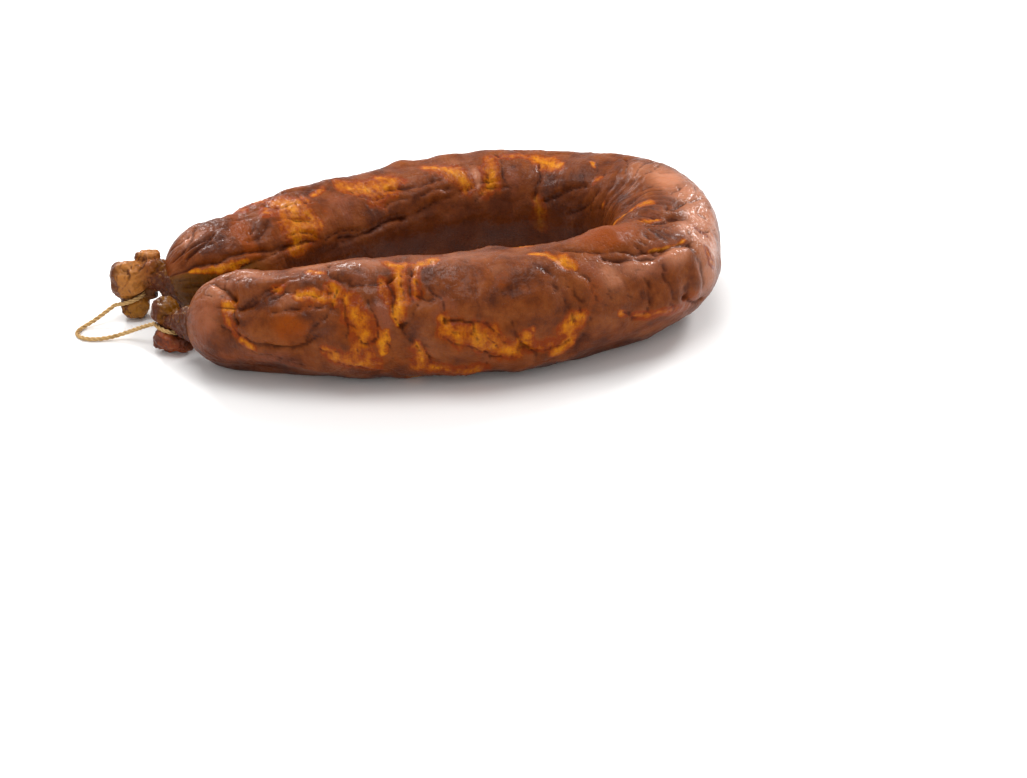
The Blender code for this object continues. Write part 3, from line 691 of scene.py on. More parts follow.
def relief(station, angle, length):
    """Height in mm of the skin over the plain tube: scattered chunks, those that stand out, and folds."""
    draw = np.random.RandomState(7)
    height = np.full(np.broadcast(station, angle).shape, -CHUNK_SINK)
    for lane in range(CHUNK_LANES):
        for place in np.arange(8.0, length, CHUNK_SPACING):
            middle = place + draw.uniform(-4, 4) + CHUNK_SPACING / 2 * (lane % 2)
            turn = lane * 360 / CHUNK_LANES + draw.uniform(-10, 10)
            half_long, half_round = draw.uniform(4.5, 8.5), draw.uniform(3.6, 6.4)
            height += draw.uniform(0.0, 1.7) * hump(station, angle, middle, turn, half_long, half_round)
    for middle, turn, half_long, half_round, rise in BULGES:
        height += rise * hump(station, angle, middle, turn, half_long, half_round)
    uneven = np.clip(0.85 + 0.6 * grain(station, angle, 6, 6, 31), 0.15, 1.3)
    for path, depth, half_width in FOLDS + stray_folds(draw, length):
        height += depth * uneven * fold_profile(distance_to(path, station, angle) / (0.7 * half_width))
    return height


def fold_profile(away):
    """The height across a fold 1 deep: a sharp valley, then a soft shoulder. It takes half widths."""
    return 0.10 * np.exp(-((away - 2.4) ** 2)) - np.exp(-1.35 * away**0.9)


def grain(station, angle, long, across, seed):
    """Smooth noise from about -1 to 1 over the skin, which meets itself round it. Its grain is in mm."""
    cells = max(3, round(SKIN_ROUND / across))
    x, y = np.broadcast_arrays(station / long + 4, (angle / 360 % 1) * cells)
    x = np.maximum(x, 0)
    turn = np.random.RandomState(seed).uniform(0, 2 * math.pi, (int(x.max()) + 3, cells))
    i, j = np.floor(x).astype(int), np.floor(y).astype(int)
    total = np.zeros(x.shape)
    for di in (0, 1):
        for dj in (0, 1):
            heading = turn[i + di, (j + dj) % cells]
            dx, dy = x - i - di, y - j - dj
            wx, wy = 1 - np.abs(dx), 1 - np.abs(dy)
            weight = wx**3 * (wx * (6 * wx - 15) + 10) * wy**3 * (wy * (6 * wy - 15) + 10)
            total += weight * (np.cos(heading) * dx + np.sin(heading) * dy)
    return 1.6 * total


def ridged(station, angle, long, across, seed):
    """Noise from 0 to 1 with thin valleys between rounded ridges."""
    return np.minimum(np.abs(grain(station, angle, long, across, seed)) * 2.2, 1) ** 0.7


def smooth_step(value, low, high):
    """0 below low, 1 above high and smooth between."""
    t = np.clip((value - low) / (high - low), 0, 1)
    return t * t * (3 - 2 * t)


def chunk_cells(station, angle, length):
    """The pieces of meat under the casing: mm to the seam between two of them, and a random value for each."""
    draw = np.random.RandomState(23)
    shape = np.broadcast(station, angle).shape
    first, second, value = np.full(shape, 99.0), np.full(shape, 99.0), np.zeros(shape)
    stations = station.mean(axis=1)
    for number, place in enumerate(np.arange(-6, length + 10, 11.5)):
        rows = np.abs(stations - place) < 26
        near = station[rows]
        for lane in range(9):
            middle = place + draw.uniform(-4.5, 4.5)
            turn = (lane + 0.5 * (number % 2)) * 40 + draw.uniform(-14, 14)
            away = np.hypot(near - middle, 1.1 * round_mm(angle[rows], turn)) - draw.uniform(0, 2.5)
            nearer = away < first[rows]
            second[rows] = np.where(nearer, first[rows], np.minimum(second[rows], away))
            first[rows] = np.minimum(first[rows], away)
            value[rows] = np.where(nearer, draw.uniform(-1, 1), value[rows])
    return (second - first) / 2, value


def stray_fat(length):
    """Strokes of fat on the sides that no stroke is named for, drawn from a fixed seed."""
    draw = np.random.RandomState(41)
    strokes = []
    for number in range(STRAY_FAT):
        side = number % 3
        if side == 0:
            station, angle = draw.uniform(8, 190), draw.uniform(-70, 62)
        elif side == 1:
            station, angle = draw.uniform(200, length - 8), draw.uniform(118, 215)
        else:
            station, angle = draw.uniform(8, length - 8), draw.uniform(225, 290)
        size = draw.uniform(1.2, 4.4)
        run, turn = draw.uniform(-8, 8), draw.uniform(-30, 30)
        rows = [(station, angle, 0.6 * size), (station + run / 2, angle + turn / 2, size)]
        rows.append((station + run, angle + turn, 0.7 * size))
        strokes.append((draw.uniform(0.1, 0.8), rows))
    return strokes


def patches(places, station, angle):
    """The strongest of several soft patches at each point."""
    best = np.zeros(np.broadcast(station, angle).shape)
    for middle, turn, half_long, half_round, strength in places:
        best = np.maximum(best, strength * hump(station, angle, middle, turn, half_long, half_round))
    return best


def blurred(height, reach):
    """The height averaged over a few rows and columns, twice, round the skin."""
    for _ in range(2):
        height = sum(np.roll(height, k, axis=1) for k in range(-reach, reach + 1)) / (2 * reach + 1)
        padded = np.pad(height, ((reach, reach), (0, 0)), mode="edge")
        height = sum(padded[k : k + len(height)] for k in range(2 * reach + 1)) / (2 * reach + 1)
    return height


def skin_surface(looks):
    """The casing as rings of points in mm, and the fields that its finish reads."""
    line, radii, stations = middle_line(SKIN_STATIONS, END_CROWDING)
    length = stations[-1]
    # The columns start underneath, where the pattern's seam is hidden
    share = np.arange(SKIN_SIDES) / SKIN_SIDES
    angle = (270 + 360 * (share + 0.045 * np.sin(2 * math.pi * share)))[None, :] % 360
    station = stations[:, None]
    angle = np.broadcast_to(angle, (SKIN_STATIONS, SKIN_SIDES))
    station = np.broadcast_to(station, (SKIN_STATIONS, SKIN_SIDES))

    # Nothing on a sausage is straight, so every line and patch is bent a little
    bent_station = station + 1.1 * grain(station, angle, 9, 9, 1) + 0.5 * grain(station, angle, 3.2, 3.2, 2)
    bent_angle = angle + 3.2 * grain(station, angle, 9, 9, 3) + 1.6 * grain(station, angle, 3.2, 3.2, 4)

    fat, red = np.full(station.shape, -1.5), np.zeros(station.shape)
    for redness, stroke in FAT + stray_fat(length):
        inside = inside_stroke(stroke, bent_station, bent_angle)
        red = np.where(inside > fat, redness, red)
        fat = np.maximum(fat, inside)
    fat += 0.34 * grain(station, angle, 3.2, 6.5, 5) + 0.20 * grain(station, angle, 1.4, 3.6, 6)
    in_fat = smooth_step(fat, -0.1, 0.3)

    crinkle = patches(CRINKLES, station, angle)
    crinkle = np.clip(np.maximum(crinkle, 0.40 + 0.45 * grain(station, angle, 12, 14, 8)), 0, 1)
    inner_bend = smooth_step(station, 148, 172) * smooth_step(-station, -232, -208)
    inner_bend = inner_bend * np.clip(0.25 + np.cos(np.radians(angle - 145)), 0, 1.1)
    gathered = smooth_step(-station, -GATHER_START, -0.45 * GATHER_START)
    inward = np.abs(round_mm(bent_angle, GATHER_ANGLE))
    gathered = gathered * smooth_step(-inward, -GATHER_HALF, 4 - GATHER_HALF)

    height = relief(bent_station, bent_angle, length)
    for middle, turn, half_long, half_round, rise in SKIN_SWELLINGS:
        height += rise * hump(station, angle, middle, turn, half_long, half_round)
    seam, chunk = chunk_cells(bent_station, bent_angle, length)
    chunk = blurred(chunk, 2)
    seam_depth = 0.40 * smooth_step(grain(station, angle, 16, 16, 9), -0.35, 0.5)
    height += 0.18 * chunk - seam_depth * np.exp(-seam / 0.6)
    uneven = np.clip(0.95 + 0.5 * grain(station, angle, 4, 4, 32), 0.45, 1.3)
    # How strongly each traced crease darkens the colour along it, as painted shade
    lined = np.zeros(station.shape)
    for path, depth, half_width in CREASES + creases_in_photo():
        away = distance_to(path, bent_station, bent_angle)
        height += depth * uneven * fold_profile(away / half_width)
        lined = np.maximum(lined, depth * uneven * np.exp(-((away / (0.35 + 0.3 * half_width)) ** 2)))

    # The casing is drawn together round the meat, and gathers where the bend is tight
    wrinkle = looks.wrinkle / MM
    fine = ridged(bent_station, angle, 2.3, 13, 10) + 0.7 * ridged(bent_station, angle, 1.5, 7, 11)
    height -= wrinkle * (0.2 + 1.2 * crinkle) * (1 - 0.6 * in_fat) * (fine - 1.0)
    gather = ridged(bent_station, angle + 1.5 * (station - 190), 8.5, 50, 12) - 0.6
    gather += 0.25 * ridged(bent_station, angle, 4.0, 30, 21)
    height += 0.60 * inner_bend * gather
    bunched = ridged(bent_station, bent_angle, 2.8, 3.6, 13) + 0.7 * ridged(bent_station, bent_angle, 1.6, 2.2, 14)
    height -= 1.2 * wrinkle * np.clip(crinkle - 0.35, 0, 1) * (bunched - 1.0)

    # Fat shrinks more than lean as it dries, so the casing over it is crumpled and its edge is pinched
    crumple = looks.crumple / MM
    lumps = ridged(bent_station, bent_angle, 3.0, 3.8, 15) - 0.6
    film = ridged(bent_station, bent_angle, 1.5, 5.5, 16) - 0.6
    height += crumple * in_fat * (0.6 * lumps - film)
    height -= 0.08 * np.exp(-((fat / 0.16) ** 2))
    height += 0.12 * grain(station, angle, 4, 4, 17) + 0.05 * grain(station, angle, 1.9, 1.9, 18)
    # Pleats fan out from both tips, and run along the part that is drawn out to the back tie
    from_tip = np.minimum(station, length - station)
    pleats = ridged(station / 6, angle + 4 * grain(station, angle, 6, 20, 20), 4.0, 6.5, 19) - 0.6
    height += 0.7 * pleats * np.exp(-((from_tip / 8.0) ** 2))
    lengthwise = ridged(station, bent_angle, 22, 2.6, 22) + 0.5 * ridged(station, bent_angle, 12, 1.5, 23)
    height += 0.40 * gathered * (lengthwise - 0.9)

    underneath = np.exp(-((round_mm(angle, 270) / FLAT_HALF_WIDTH) ** 4))
    height *= 1 - underneath
    opened = np.minimum(opening(station), opening(length - station))
    radius = TIP_RADIUS + (radii[:, None] + height - TIP_RADIUS) * opened
    points = line[:, None, :] + radius[..., None] * directions_round(line, angle)
    points[..., 2] = np.maximum(points[..., 2], 0)

    near, wide = height - blurred(height, 1), height - blurred(height, 5)
    # Painted shade: the sides of the limbs that face each other, and the underside, are darker in colour
    inward = np.exp(-((round_mm(angle, 188) / 13) ** 2)) * smooth_step(from_tip, 25, 60)
    underside_shade = 0.55 * np.exp(-((round_mm(angle, 292) / 13) ** 2))
    # Painted shade: how deep a point lies in a wide hollow, which darkens the colour
    hollow = np.clip((-0.2 - wide) / 1.1, 0, 1)
    sheen = patches(SHEEN, bent_station, bent_angle)
    fields = {
        "fat": fat,
        "red": blurred(red, 1),
        "hollow": hollow,
        "oiled": np.clip(0.04 + 0.40 * crinkle**2 + 0.38 * sheen, 0, 1) * (1 - hollow) * (1 - 0.5 * inner_bend),
        "sheen": sheen,
        # Painted shade along the thin creases and the traced crease lines
        "crease": np.clip(np.maximum((-0.05 - near) / 0.24, 0.5 * lined), 0, 1),
        # Painted highlight on what stands proud
        "ridge": np.clip(near / 0.16, 0, 1),
        "chunk": chunk,
        "amber": patches(AMBER_MEAT, bent_station, bent_angle),
        "purple": patches(PURPLE_MEAT, bent_station, bent_angle),
        "crinkle": crinkle,
        "gathered": gathered,
        "shaded": np.maximum(inward, underside_shade),
    }
    return points, fields, np.stack([station / length, share[None, :] + 0 * station], axis=-1)


def mesh_of(name, verts, faces, material):
    """A linked, smooth mesh object from points in metres."""
    mesh = bpy.data.meshes.new(name)
    mesh.from_pydata(verts, [], faces)
    mesh.materials.append(material)
    mesh.shade_smooth()
    piece = bpy.data.objects.new(name, mesh)
    bpy.context.scene.collection.objects.link(piece)
    return piece


def ring_faces(rings, sides, first=0):
    """Quads between rings of vertices numbered one after another, facing outwards, as an array."""
    i, j = np.meshgrid(np.arange(rings - 1), np.arange(sides), indexing="ij")
    one, two = i * sides + j, i * sides + (j + 1) % sides
    return first + np.stack([one, two, two + sides, one + sides], axis=-1).reshape(-1, 4)


def add_field(mesh, name, values):
    """Stores one number for each vertex under a name that a material reads."""
    field = mesh.attributes.new(name, "FLOAT", "POINT")
    field.data.foreach_set("value", np.asarray(values, np.float32).ravel())


def hand_over(piece, slot_name, *nodes):
    """Gives a finished piece to the frame: it rides on the body and stands for the nodes."""
    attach(piece, "root")
    if nodes:
        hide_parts(*nodes)


def add(tree, kind, inputs=None, pick=0, stops=None, **settings):
    """Adds a node with its settings, and gives the output picked by name or number.

    Inputs are values or sockets to link from, by name or number.
    """
    made = tree.nodes.new(kind)
    for name, value in settings.items():
        setattr(made, name, value)
    for socket, value in (inputs or {}).items():
        if isinstance(value, bpy.types.NodeSocket):
            tree.links.new(value, made.inputs[socket])
        else:
            made.inputs[socket].default_value = value
    if stops:
        ramp = made.color_ramp
        while len(ramp.elements) < len(stops):
            ramp.elements.new(1.0)
        for element, (place, colour) in zip(ramp.elements, stops):
            element.position = place
            element.color = (*colour, 1.0)
    return made.outputs[pick]


def shaded_material(name, build, looks):
    """A node material. The build function takes its tree and gives the inputs of its Principled shader."""
    material = bpy.data.materials.new(name)
    material.use_nodes = True
    tree = material.node_tree
    tree.nodes.clear()
    output = tree.nodes.new("ShaderNodeOutputMaterial")
    tree.links.new(add(tree, "ShaderNodeBsdfPrincipled", build(tree, looks)), output.inputs["Surface"])
    return material


def layered(tree, colour, layers):
    """Covers a colour with others.

    A layer starts where its value is low and reaches its full share where the value is high.
    """
    for value, low, high, share, over in layers:
        fade = {"Value": value, "From Min": low, "From Max": high, "To Max": share}
        cover = add(tree, "ShaderNodeMapRange", fade, interpolation_type="SMOOTHSTEP")
        if not isinstance(over, bpy.types.NodeSocket):
            over = (*over, 1.0)
        colour = add(tree, "ShaderNodeMix", {0: cover, 6: colour, 7: over}, pick=2, data_type="RGBA")
    return colour


def casing_shader(tree, looks):
    """Natural hog casing, dried on coarse meat: thin, translucent, oily and finely wrinkled.

    The lean is mottled red-brown, and paprika fat glows orange to yellow. The bottoms of folds are painted
    nearly black as shade, and the inner sides and underside are darker as painted shade; what stands proud
    is a little paler as painted highlight, and a pinkish painted sheen lightens where it shines most. It
    has a soft, broken gloss of fat.
    """
    place = add(tree, "ShaderNodeTexCoord", pick="Object")
    names = "fat red hollow oiled sheen crease ridge chunk amber purple crinkle gathered shaded".split()
    field = {name: add(tree, "ShaderNodeAttribute", pick="Fac", attribute_name=name) for name in names}
    cloud = {}
    for size_mm in (8.0, 5.0, 4.0, 2.4, 1.8, 1.2, 1.1, 0.8, 0.35):
        grain_of = {"Vector": place, "W": size_mm, "Scale": 1 / (size_mm * MM), "Detail": 4.0, "Roughness": 0.6}
        cloud[size_mm] = add(tree, "ShaderNodeTexNoise", grain_of, noise_dimensions="4D")

    # Wrinkles that run round the casing, about 1.2 mm apart and 8 mm long
    on_skin = add(tree, "ShaderNodeUVMap", pick="UV", uv_map="skin")
    stretched = add(tree, "ShaderNodeMapping", {"Vector": on_skin, "Scale": (300.0, 14.0, 1.0)})
    strands = {"Vector": stretched, "Scale": 1.0, "Detail": 4.0, "Distortion": 0.9}
    rings = add(tree, "ShaderNodeTexNoise", strands, noise_dimensions="2D")

    # Lean: pieces of different meat, mottled and specked, with pale sinew running round
    shade = {0: field["chunk"], 1: 0.06, 2: cloud[8.0]}
    shade = add(tree, "ShaderNodeMath", shade, operation="MULTIPLY_ADD")
    stops = [(0.36, looks.lean_dark_and_shade), (0.50, looks.lean), (0.66, looks.lean_light_and_highlight)]
    lean = add(tree, "ShaderNodeValToRGB", {"Fac": shade}, stops=stops)
    amber = add(tree, "ShaderNodeMath", {0: field["amber"], 1: cloud[5.0]})
    purple = add(tree, "ShaderNodeMath", {0: field["purple"], 1: cloud[4.0]})
    lean = layered(
        tree,
        lean,
        [
            (amber, 0.70, 1.20, 0.90, looks.amber),
            (purple, 0.75, 1.30, 0.85, looks.purple),
            # Painted sheen: the places that shine most are lightened to a pinkish colour
            (field["sheen"], 0.05, 0.90, 0.80, looks.pale),
            (rings, 0.56, 0.72, 0.18, looks.lean_light_and_highlight),
            (cloud[1.1], 0.58, 0.70, 0.15, looks.lean_dark_and_shade),
            (field["gathered"], 0.10, 0.80, 0.85, looks.olive),
        ],
    )

    # Fat: its field is 1 in the middle of a piece and 0 at its edge, which the wrinkles fray
    frayed = {0: rings, 1: 0.15, 2: field["fat"]}
    frayed = add(tree, "ShaderNodeMath", frayed, operation="MULTIPLY_ADD")
    frayed = add(tree, "ShaderNodeMath", {0: cloud[1.2], 1: 0.35, 2: frayed}, operation="MULTIPLY_ADD")
    richness = {0: frayed, 1: 0.45, 2: cloud[2.4]}
    richness = add(tree, "ShaderNodeMath", richness, operation="MULTIPLY_ADD")
    richness = add(tree, "ShaderNodeMath", {0: rings, 1: 0.2, 2: richness}, operation="MULTIPLY_ADD")
    richness = add(tree, "ShaderNodeMath", {0: field["red"], 1: -0.45, 2: richness}, operation="MULTIPLY_ADD")
    stops = [(0.12, looks.fat_red), (0.36, looks.fat), (0.68, looks.fat_yellow)]
    shifted = add(tree, "ShaderNodeMath", {0: richness, 1: 0.45}, operation="SUBTRACT")
    fat = add(tree, "ShaderNodeValToRGB", {"Fac": shifted}, stops=stops)
    fat = layered(tree, fat, [(cloud[1.8], 0.56, 0.66, 0.60, looks.fat_red)])

    # Painted shade darkens the folds, and a painted highlight makes what stands proud a little paler. A net of thin
    # creases, darkened as painted shade, lies over all
    net = add(tree, "ShaderNodeMath", {0: cloud[5.0], 1: 0.5}, operation="SUBTRACT")
    net = add(tree, "ShaderNodeMath", {0: net}, operation="ABSOLUTE")
    colour = layered(
        tree,
        lean,
        [
            (frayed, -0.20, 0.40, 0.65, looks.amber),
            (frayed, 0.18, 0.38, 0.95, fat),
            # Painted shade on the sides that face each other and on the underside
            (field["shaded"], 0.10, 1.00, 0.75, looks.lean_dark_and_shade),
            # Painted highlight: crests are lightened toward the light meat colour
            (field["ridge"], 0.20, 1.00, 0.22, looks.lean_light_and_highlight),
            # Painted shade in the net of creases, the wide hollows and the thin creases
            (net, 0.016, 0.000, 0.12, looks.crease),
            (field["hollow"], 0.10, 1.00, 0.38, looks.crease),
            (field["crease"], 0.10, 1.00, 0.58, looks.crease),
        ],
    )

    # Creases under 1 mm are too fine for the mesh: rings, crumples in every direction, and grain
    creased = add(tree, "ShaderNodeMath", {0: rings, 1: 0.7, 2: cloud[0.8]}, operation="MULTIPLY_ADD")
    calm = add(tree, "ShaderNodeMath", {0: field["crinkle"], 1: 1.5, 2: 0.30}, operation="MULTIPLY_ADD")
    rise = add(tree, "ShaderNodeMath", {0: cloud[0.35], 1: 0.18}, operation="MULTIPLY")
    rise = add(tree, "ShaderNodeMath", {0: creased, 1: calm, 2: rise}, operation="MULTIPLY_ADD")
    sunk = {"Value": net, "From Min": 0.03, "From Max": 0.0, "To Max": -0.2}
    sunk = add(tree, "ShaderNodeMapRange", sunk, interpolation_type="SMOOTHSTEP")
    rise = add(tree, "ShaderNodeMath", {0: rise, 1: sunk})
    bump = add(tree, "ShaderNodeBump", {"Strength": 1.0, "Distance": 0.00028, "Height": rise})

    # The film of fat lies smoother than the casing, in facets of about 2 mm that catch the light one by one
    facets = {"Vector": place, "Scale": 1 / (2.1 * MM), "Detail": 1.2, "Distortion": 0.8}
    facets = add(tree, "ShaderNodeTexNoise", facets)
    facets = add(tree, "ShaderNodeMath", {0: facets, 1: calm}, operation="MULTIPLY")
    film = add(tree, "ShaderNodeBump", {"Strength": 1.0, "Distance": 0.00042, "Height": facets})

    # Fat comes through the casing unevenly, so that its gloss is broken. Folds don't shine
    dull = {0: cloud[4.0], 1: 0.30, 2: looks.roughness - 0.15}
    dull = add(tree, "ShaderNodeMath", dull, operation="MULTIPLY_ADD")
    dull = add(tree, "ShaderNodeMath", {0: field["hollow"], 1: 0.35, 2: dull}, operation="MULTIPLY_ADD")
    return {
        "Base Color": colour,
        "Roughness": dull,
        "IOR": 1.45,
        "Specular IOR Level": 0.07,
        "Normal": bump,
        "Subsurface Weight": 0.10,
        "Subsurface Radius": (1.0, 0.32, 0.12),
        "Subsurface Scale": 0.0018,
        "Coat Weight": field["oiled"],
        "Coat Roughness": 0.16,
        "Coat Normal": film,
    }


def gathered_shader(tree, looks):
    """The same casing where it is empty: folded many times, tougher, drier and yellower, with oily folds."""
    place = add(tree, "ShaderNodeTexCoord", pick="Object")
    own = add(tree, "ShaderNodeAttribute", pick="Color", attribute_name="tint")
    hollow = add(tree, "ShaderNodeAttribute", pick="Fac", attribute_name="hollow")
    cloud = {}
    for size_mm in (2.4, 2.0, 1.6, 0.9, 0.35):
        grain_of = {"Vector": place, "W": size_mm, "Scale": 1 / (size_mm * MM), "Detail": 4.0, "Roughness": 0.6}
        cloud[size_mm] = add(tree, "ShaderNodeTexNoise", grain_of, noise_dimensions="4D")
    colour = layered(
        tree,
        own,
        [
            (cloud[2.4], 0.48, 0.66, 0.35, looks.dark),
            (cloud[1.6], 0.54, 0.70, 0.35, looks.tan),
            # Painted shade in the folds and under the tie
            (hollow, 0.10, 0.90, 0.75, looks.dark),
        ],
    )
    rise = add(tree, "ShaderNodeMath", {0: cloud[0.35], 1: 0.3, 2: cloud[0.9]}, operation="MULTIPLY_ADD")
    dull = add(tree, "ShaderNodeMath", {0: cloud[2.0], 1: 0.40, 2: 0.15}, operation="MULTIPLY_ADD")
    bump = add(tree, "ShaderNodeBump", {"Strength": 1.0, "Distance": 0.00022, "Height": rise})
    return {
        "Base Color": colour,
        "Roughness": dull,
        "IOR": 1.45,
        "Specular IOR Level": 0.06,
        "Normal": bump,
        "Subsurface Weight": 0.12,
        "Subsurface Radius": (1.0, 0.4, 0.15),
        "Subsurface Scale": 0.0015,
        "Coat Weight": 0.16,
        "Coat Roughness": 0.18,
    }


def twine_shader(tree, looks):
    """Three-ply cotton twine, yellowed and partly soaked by fat: matt, with a fine fibrous grain."""
    place = add(tree, "ShaderNodeTexCoord", pick="Object")
    blotch = add(tree, "ShaderNodeTexNoise", {"Vector": place, "Scale": 1 / (3.5 * MM), "Detail": 3.0})
    fibre = add(tree, "ShaderNodeTexNoise", {"Vector": place, "Scale": 1 / (0.3 * MM), "Detail": 2.0})
    layers = [(blotch, 0.46, 0.62, 0.70, looks.stain), (fibre, 0.52, 0.66, 0.45, looks.stain)]
    return {
        "Base Color": layered(tree, (*looks.colour, 1.0), layers),
        "Roughness": 0.85,
        "IOR": 1.47,
        "Specular IOR Level": 0.25,
        "Normal": add(tree, "ShaderNodeBump", {"Strength": 0.7, "Distance": 0.00008, "Height": fibre}),
        "Sheen Weight": 0.15,
    }


def paper_shader(tree, looks):
    """Matt white paper: a plain pale floor without any gloss."""
    return {"Base Color": (*looks.floor, 1.0), "Roughness": 0.9, "IOR": 1.3}


def solid_cloud(point, size, seed):
    """Smooth noise in space, with its grain in mm."""
    return solid_noise.noise(Vector(point) / size + Vector((seed, 0, 0)))


def funnel_rings(rows, count, sides, seed):
    """Rings of a funnel of casing, drawn in by deep uneven pleats that deepen towards the tie."""
    line, _ = spline_through(rows, count)
    points, radii = line[:, :3], line[:, 3]
    _, out, up = axes_along(points)
    share = np.linspace(0, 1, count)[:, None]
    turn = (np.arange(sides) * 2 * math.pi / sides)[None, :]
    draw = np.random.RandomState(seed)
    pleat = np.zeros((count, sides))
    for folds in (5, 8, 13, 21):
        sway = draw.uniform(0, 2 * math.pi) + draw.uniform(-1.5, 1.5) * share
        pleat += np.cos(folds * turn + sway + 0.5 * np.sin(2 * turn + 3 * share)) / folds**0.6
    radius = radii[:, None] * (1 + 0.16 * (0.25 + 0.75 * share) * pleat)
    around = np.cos(turn)[..., None] * out[:, None, :] + np.sin(turn)[..., None] * up[:, None, :]
    return points[:, None, :] + radius[..., None] * around


def add_rings(shell, rings):
    """Adds a tube through rings of points to a bmesh, closed at both ends."""
    loops = [[shell.verts.new(p) for p in ring] for ring in rings]
    made = [shell.faces.new(loops[0]), shell.faces.new(loops[-1])]
    for one, two in zip(loops, loops[1:]):
        for i in range(len(one)):
            j = (i + 1) % len(one)
            made.append(shell.faces.new((one[i], one[j], two[j], two[i])))
    bmesh.ops.recalc_face_normals(shell, faces=made)


def add_lobe(shell, lobe, seed):
    """Adds a lump of folded casing, puckered along lines that run to the tie."""
    made = bmesh.ops.create_icosphere(shell, subdivisions=5, radius=1.0)["verts"]
    middle, radii = Vector(lobe[:3]), lobe[3:6]
    for vert in made:
        x, y, z = vert.co
        # A little boxy, as casing is that was folded over and pressed
        boxy = 1 + 0.5 * ((abs(x) ** 3 + abs(y) ** 3 + abs(z) ** 3) ** (-1 / 3) - 1)
        pucker = 0.04 * math.sin(4 * x + 3 * z + lobe[0]) + 0.04 * math.sin(5 * y - 4 * z + lobe[1])
        crumple = 0.15 * abs(solid_noise.noise(vert.co * 1.7 + Vector((seed, 0, 0))))
        vert.co = middle + Vector((x * radii[0], y * radii[1], z * radii[2])) * (boxy + pucker - crumple)


def evaluated_mesh(piece):
    """Replaces a piece's mesh by its evaluated one and clears its modifiers."""
    bpy.context.view_layer.update()
    graph = bpy.context.evaluated_depsgraph_get()
    mesh = bpy.data.meshes.new_from_object(piece.evaluated_get(graph))
    piece.modifiers.clear()
    piece.data = mesh
    return mesh


def tied_end(name, funnel, lobes, tie, neck, seed, looks, material):
    """One gathered end of the casing: funnel and lobes fused, wrinkled, and tinted by where they lie."""
    shell = bmesh.new()
    add_rings(shell, funnel_rings(funnel, 70, 120, seed))
    for number, lobe in enumerate(lobes):
        add_lobe(shell, lobe, seed + number)
    mesh = bpy.data.meshes.new(name)
    shell.to_mesh(mesh)
    shell.free()
    mesh.transform(mesh_to_metres())
    mesh.materials.append(material)
    piece = bpy.data.objects.new(name, mesh)
    bpy.context.scene.collection.objects.link(piece)
    fuse = piece.modifiers.new("fuse", "REMESH")
    fuse.mode, fuse.voxel_size, fuse.use_smooth_shade = "VOXEL", looks.voxel, True
    soften = piece.modifiers.new("soften", "SMOOTH")
    soften.factor, soften.iterations = 0.5, 4
    mesh = evaluated_mesh(piece)
    wrinkle_end(mesh, tie, seed)
    tint_end(mesh, funnel, lobes, neck, looks)
    mesh.materials.clear()
    mesh.materials.append(material)
    mesh.shade_smooth()
    return piece


def mesh_to_metres():
    """The matrix that takes points in mm to metres about the plan's centre."""
    from_centre = Vector((-PLAN_CENTRE[0], -PLAN_CENTRE[1], 0.0)) * MM
    return Matrix.Translation(from_centre) @ Matrix.Scale(MM, 4)


def wrinkle_end(mesh, tie, seed):
    """Pushes the surface in and out along its normals, pulls it in under the tie, and keeps it off the floor."""
    (x, y, z), (across, deep), rise = tie
    slope = math.tan(math.radians(rise))
    hollow = np.zeros(len(mesh.vertices))
    normals = [v.normal.copy() for v in mesh.vertices]
    for vert, normal in zip(mesh.vertices, normals):
        point = vert.co / MM
        lump = 0.45 * solid_cloud(point, 2.4, seed) + 0.20 * solid_cloud(point, 1.0, seed + 17)
        # Folds come and go, and bend with a second, finer cloud
        swayed = solid_cloud(point, 4.2, seed + 9) + 0.25 * solid_cloud(point, 1.3, seed + 5)
        strength = min(1.0, max(0.0, 0.35 + 1.6 * solid_cloud(point, 4.8, seed + 3)))
        fold = strength * max(0.0, 1 - abs(swayed) / 0.24) ** 1.5
        # Each fold's depth is kept to darken the colour as painted shade
        hollow[vert.index] = 0.7 * fold
        vert.co += normal * (lump - 0.65 * fold) * MM
        flat = Vector(((point.x + PLAN_CENTRE[0] - x) / across, (point.y + PLAN_CENTRE[1] - y) / deep, 0))
        level = z + (point.x + PLAN_CENTRE[0] - x) * slope
        waist = math.exp(-(((point.z - level) / 1.0) ** 2))
        reach = flat.length
        if 0.55 < reach < 1.6 and waist > 0.05:
            pull = 1 - waist * max(0.0, reach - 0.80) / reach
            vert.co.x = ((point.x + PLAN_CENTRE[0] - x) * pull + x - PLAN_CENTRE[0]) * MM
            vert.co.y = ((point.y + PLAN_CENTRE[1] - y) * pull + y - PLAN_CENTRE[1]) * MM
            # The pinch under the tie is darkened as painted shade too
            hollow[vert.index] = max(hollow[vert.index], 0.7 * waist)
        vert.co.z = max(vert.co.z, 0.0)
    add_field(mesh, "hollow", hollow)
    mesh.update()


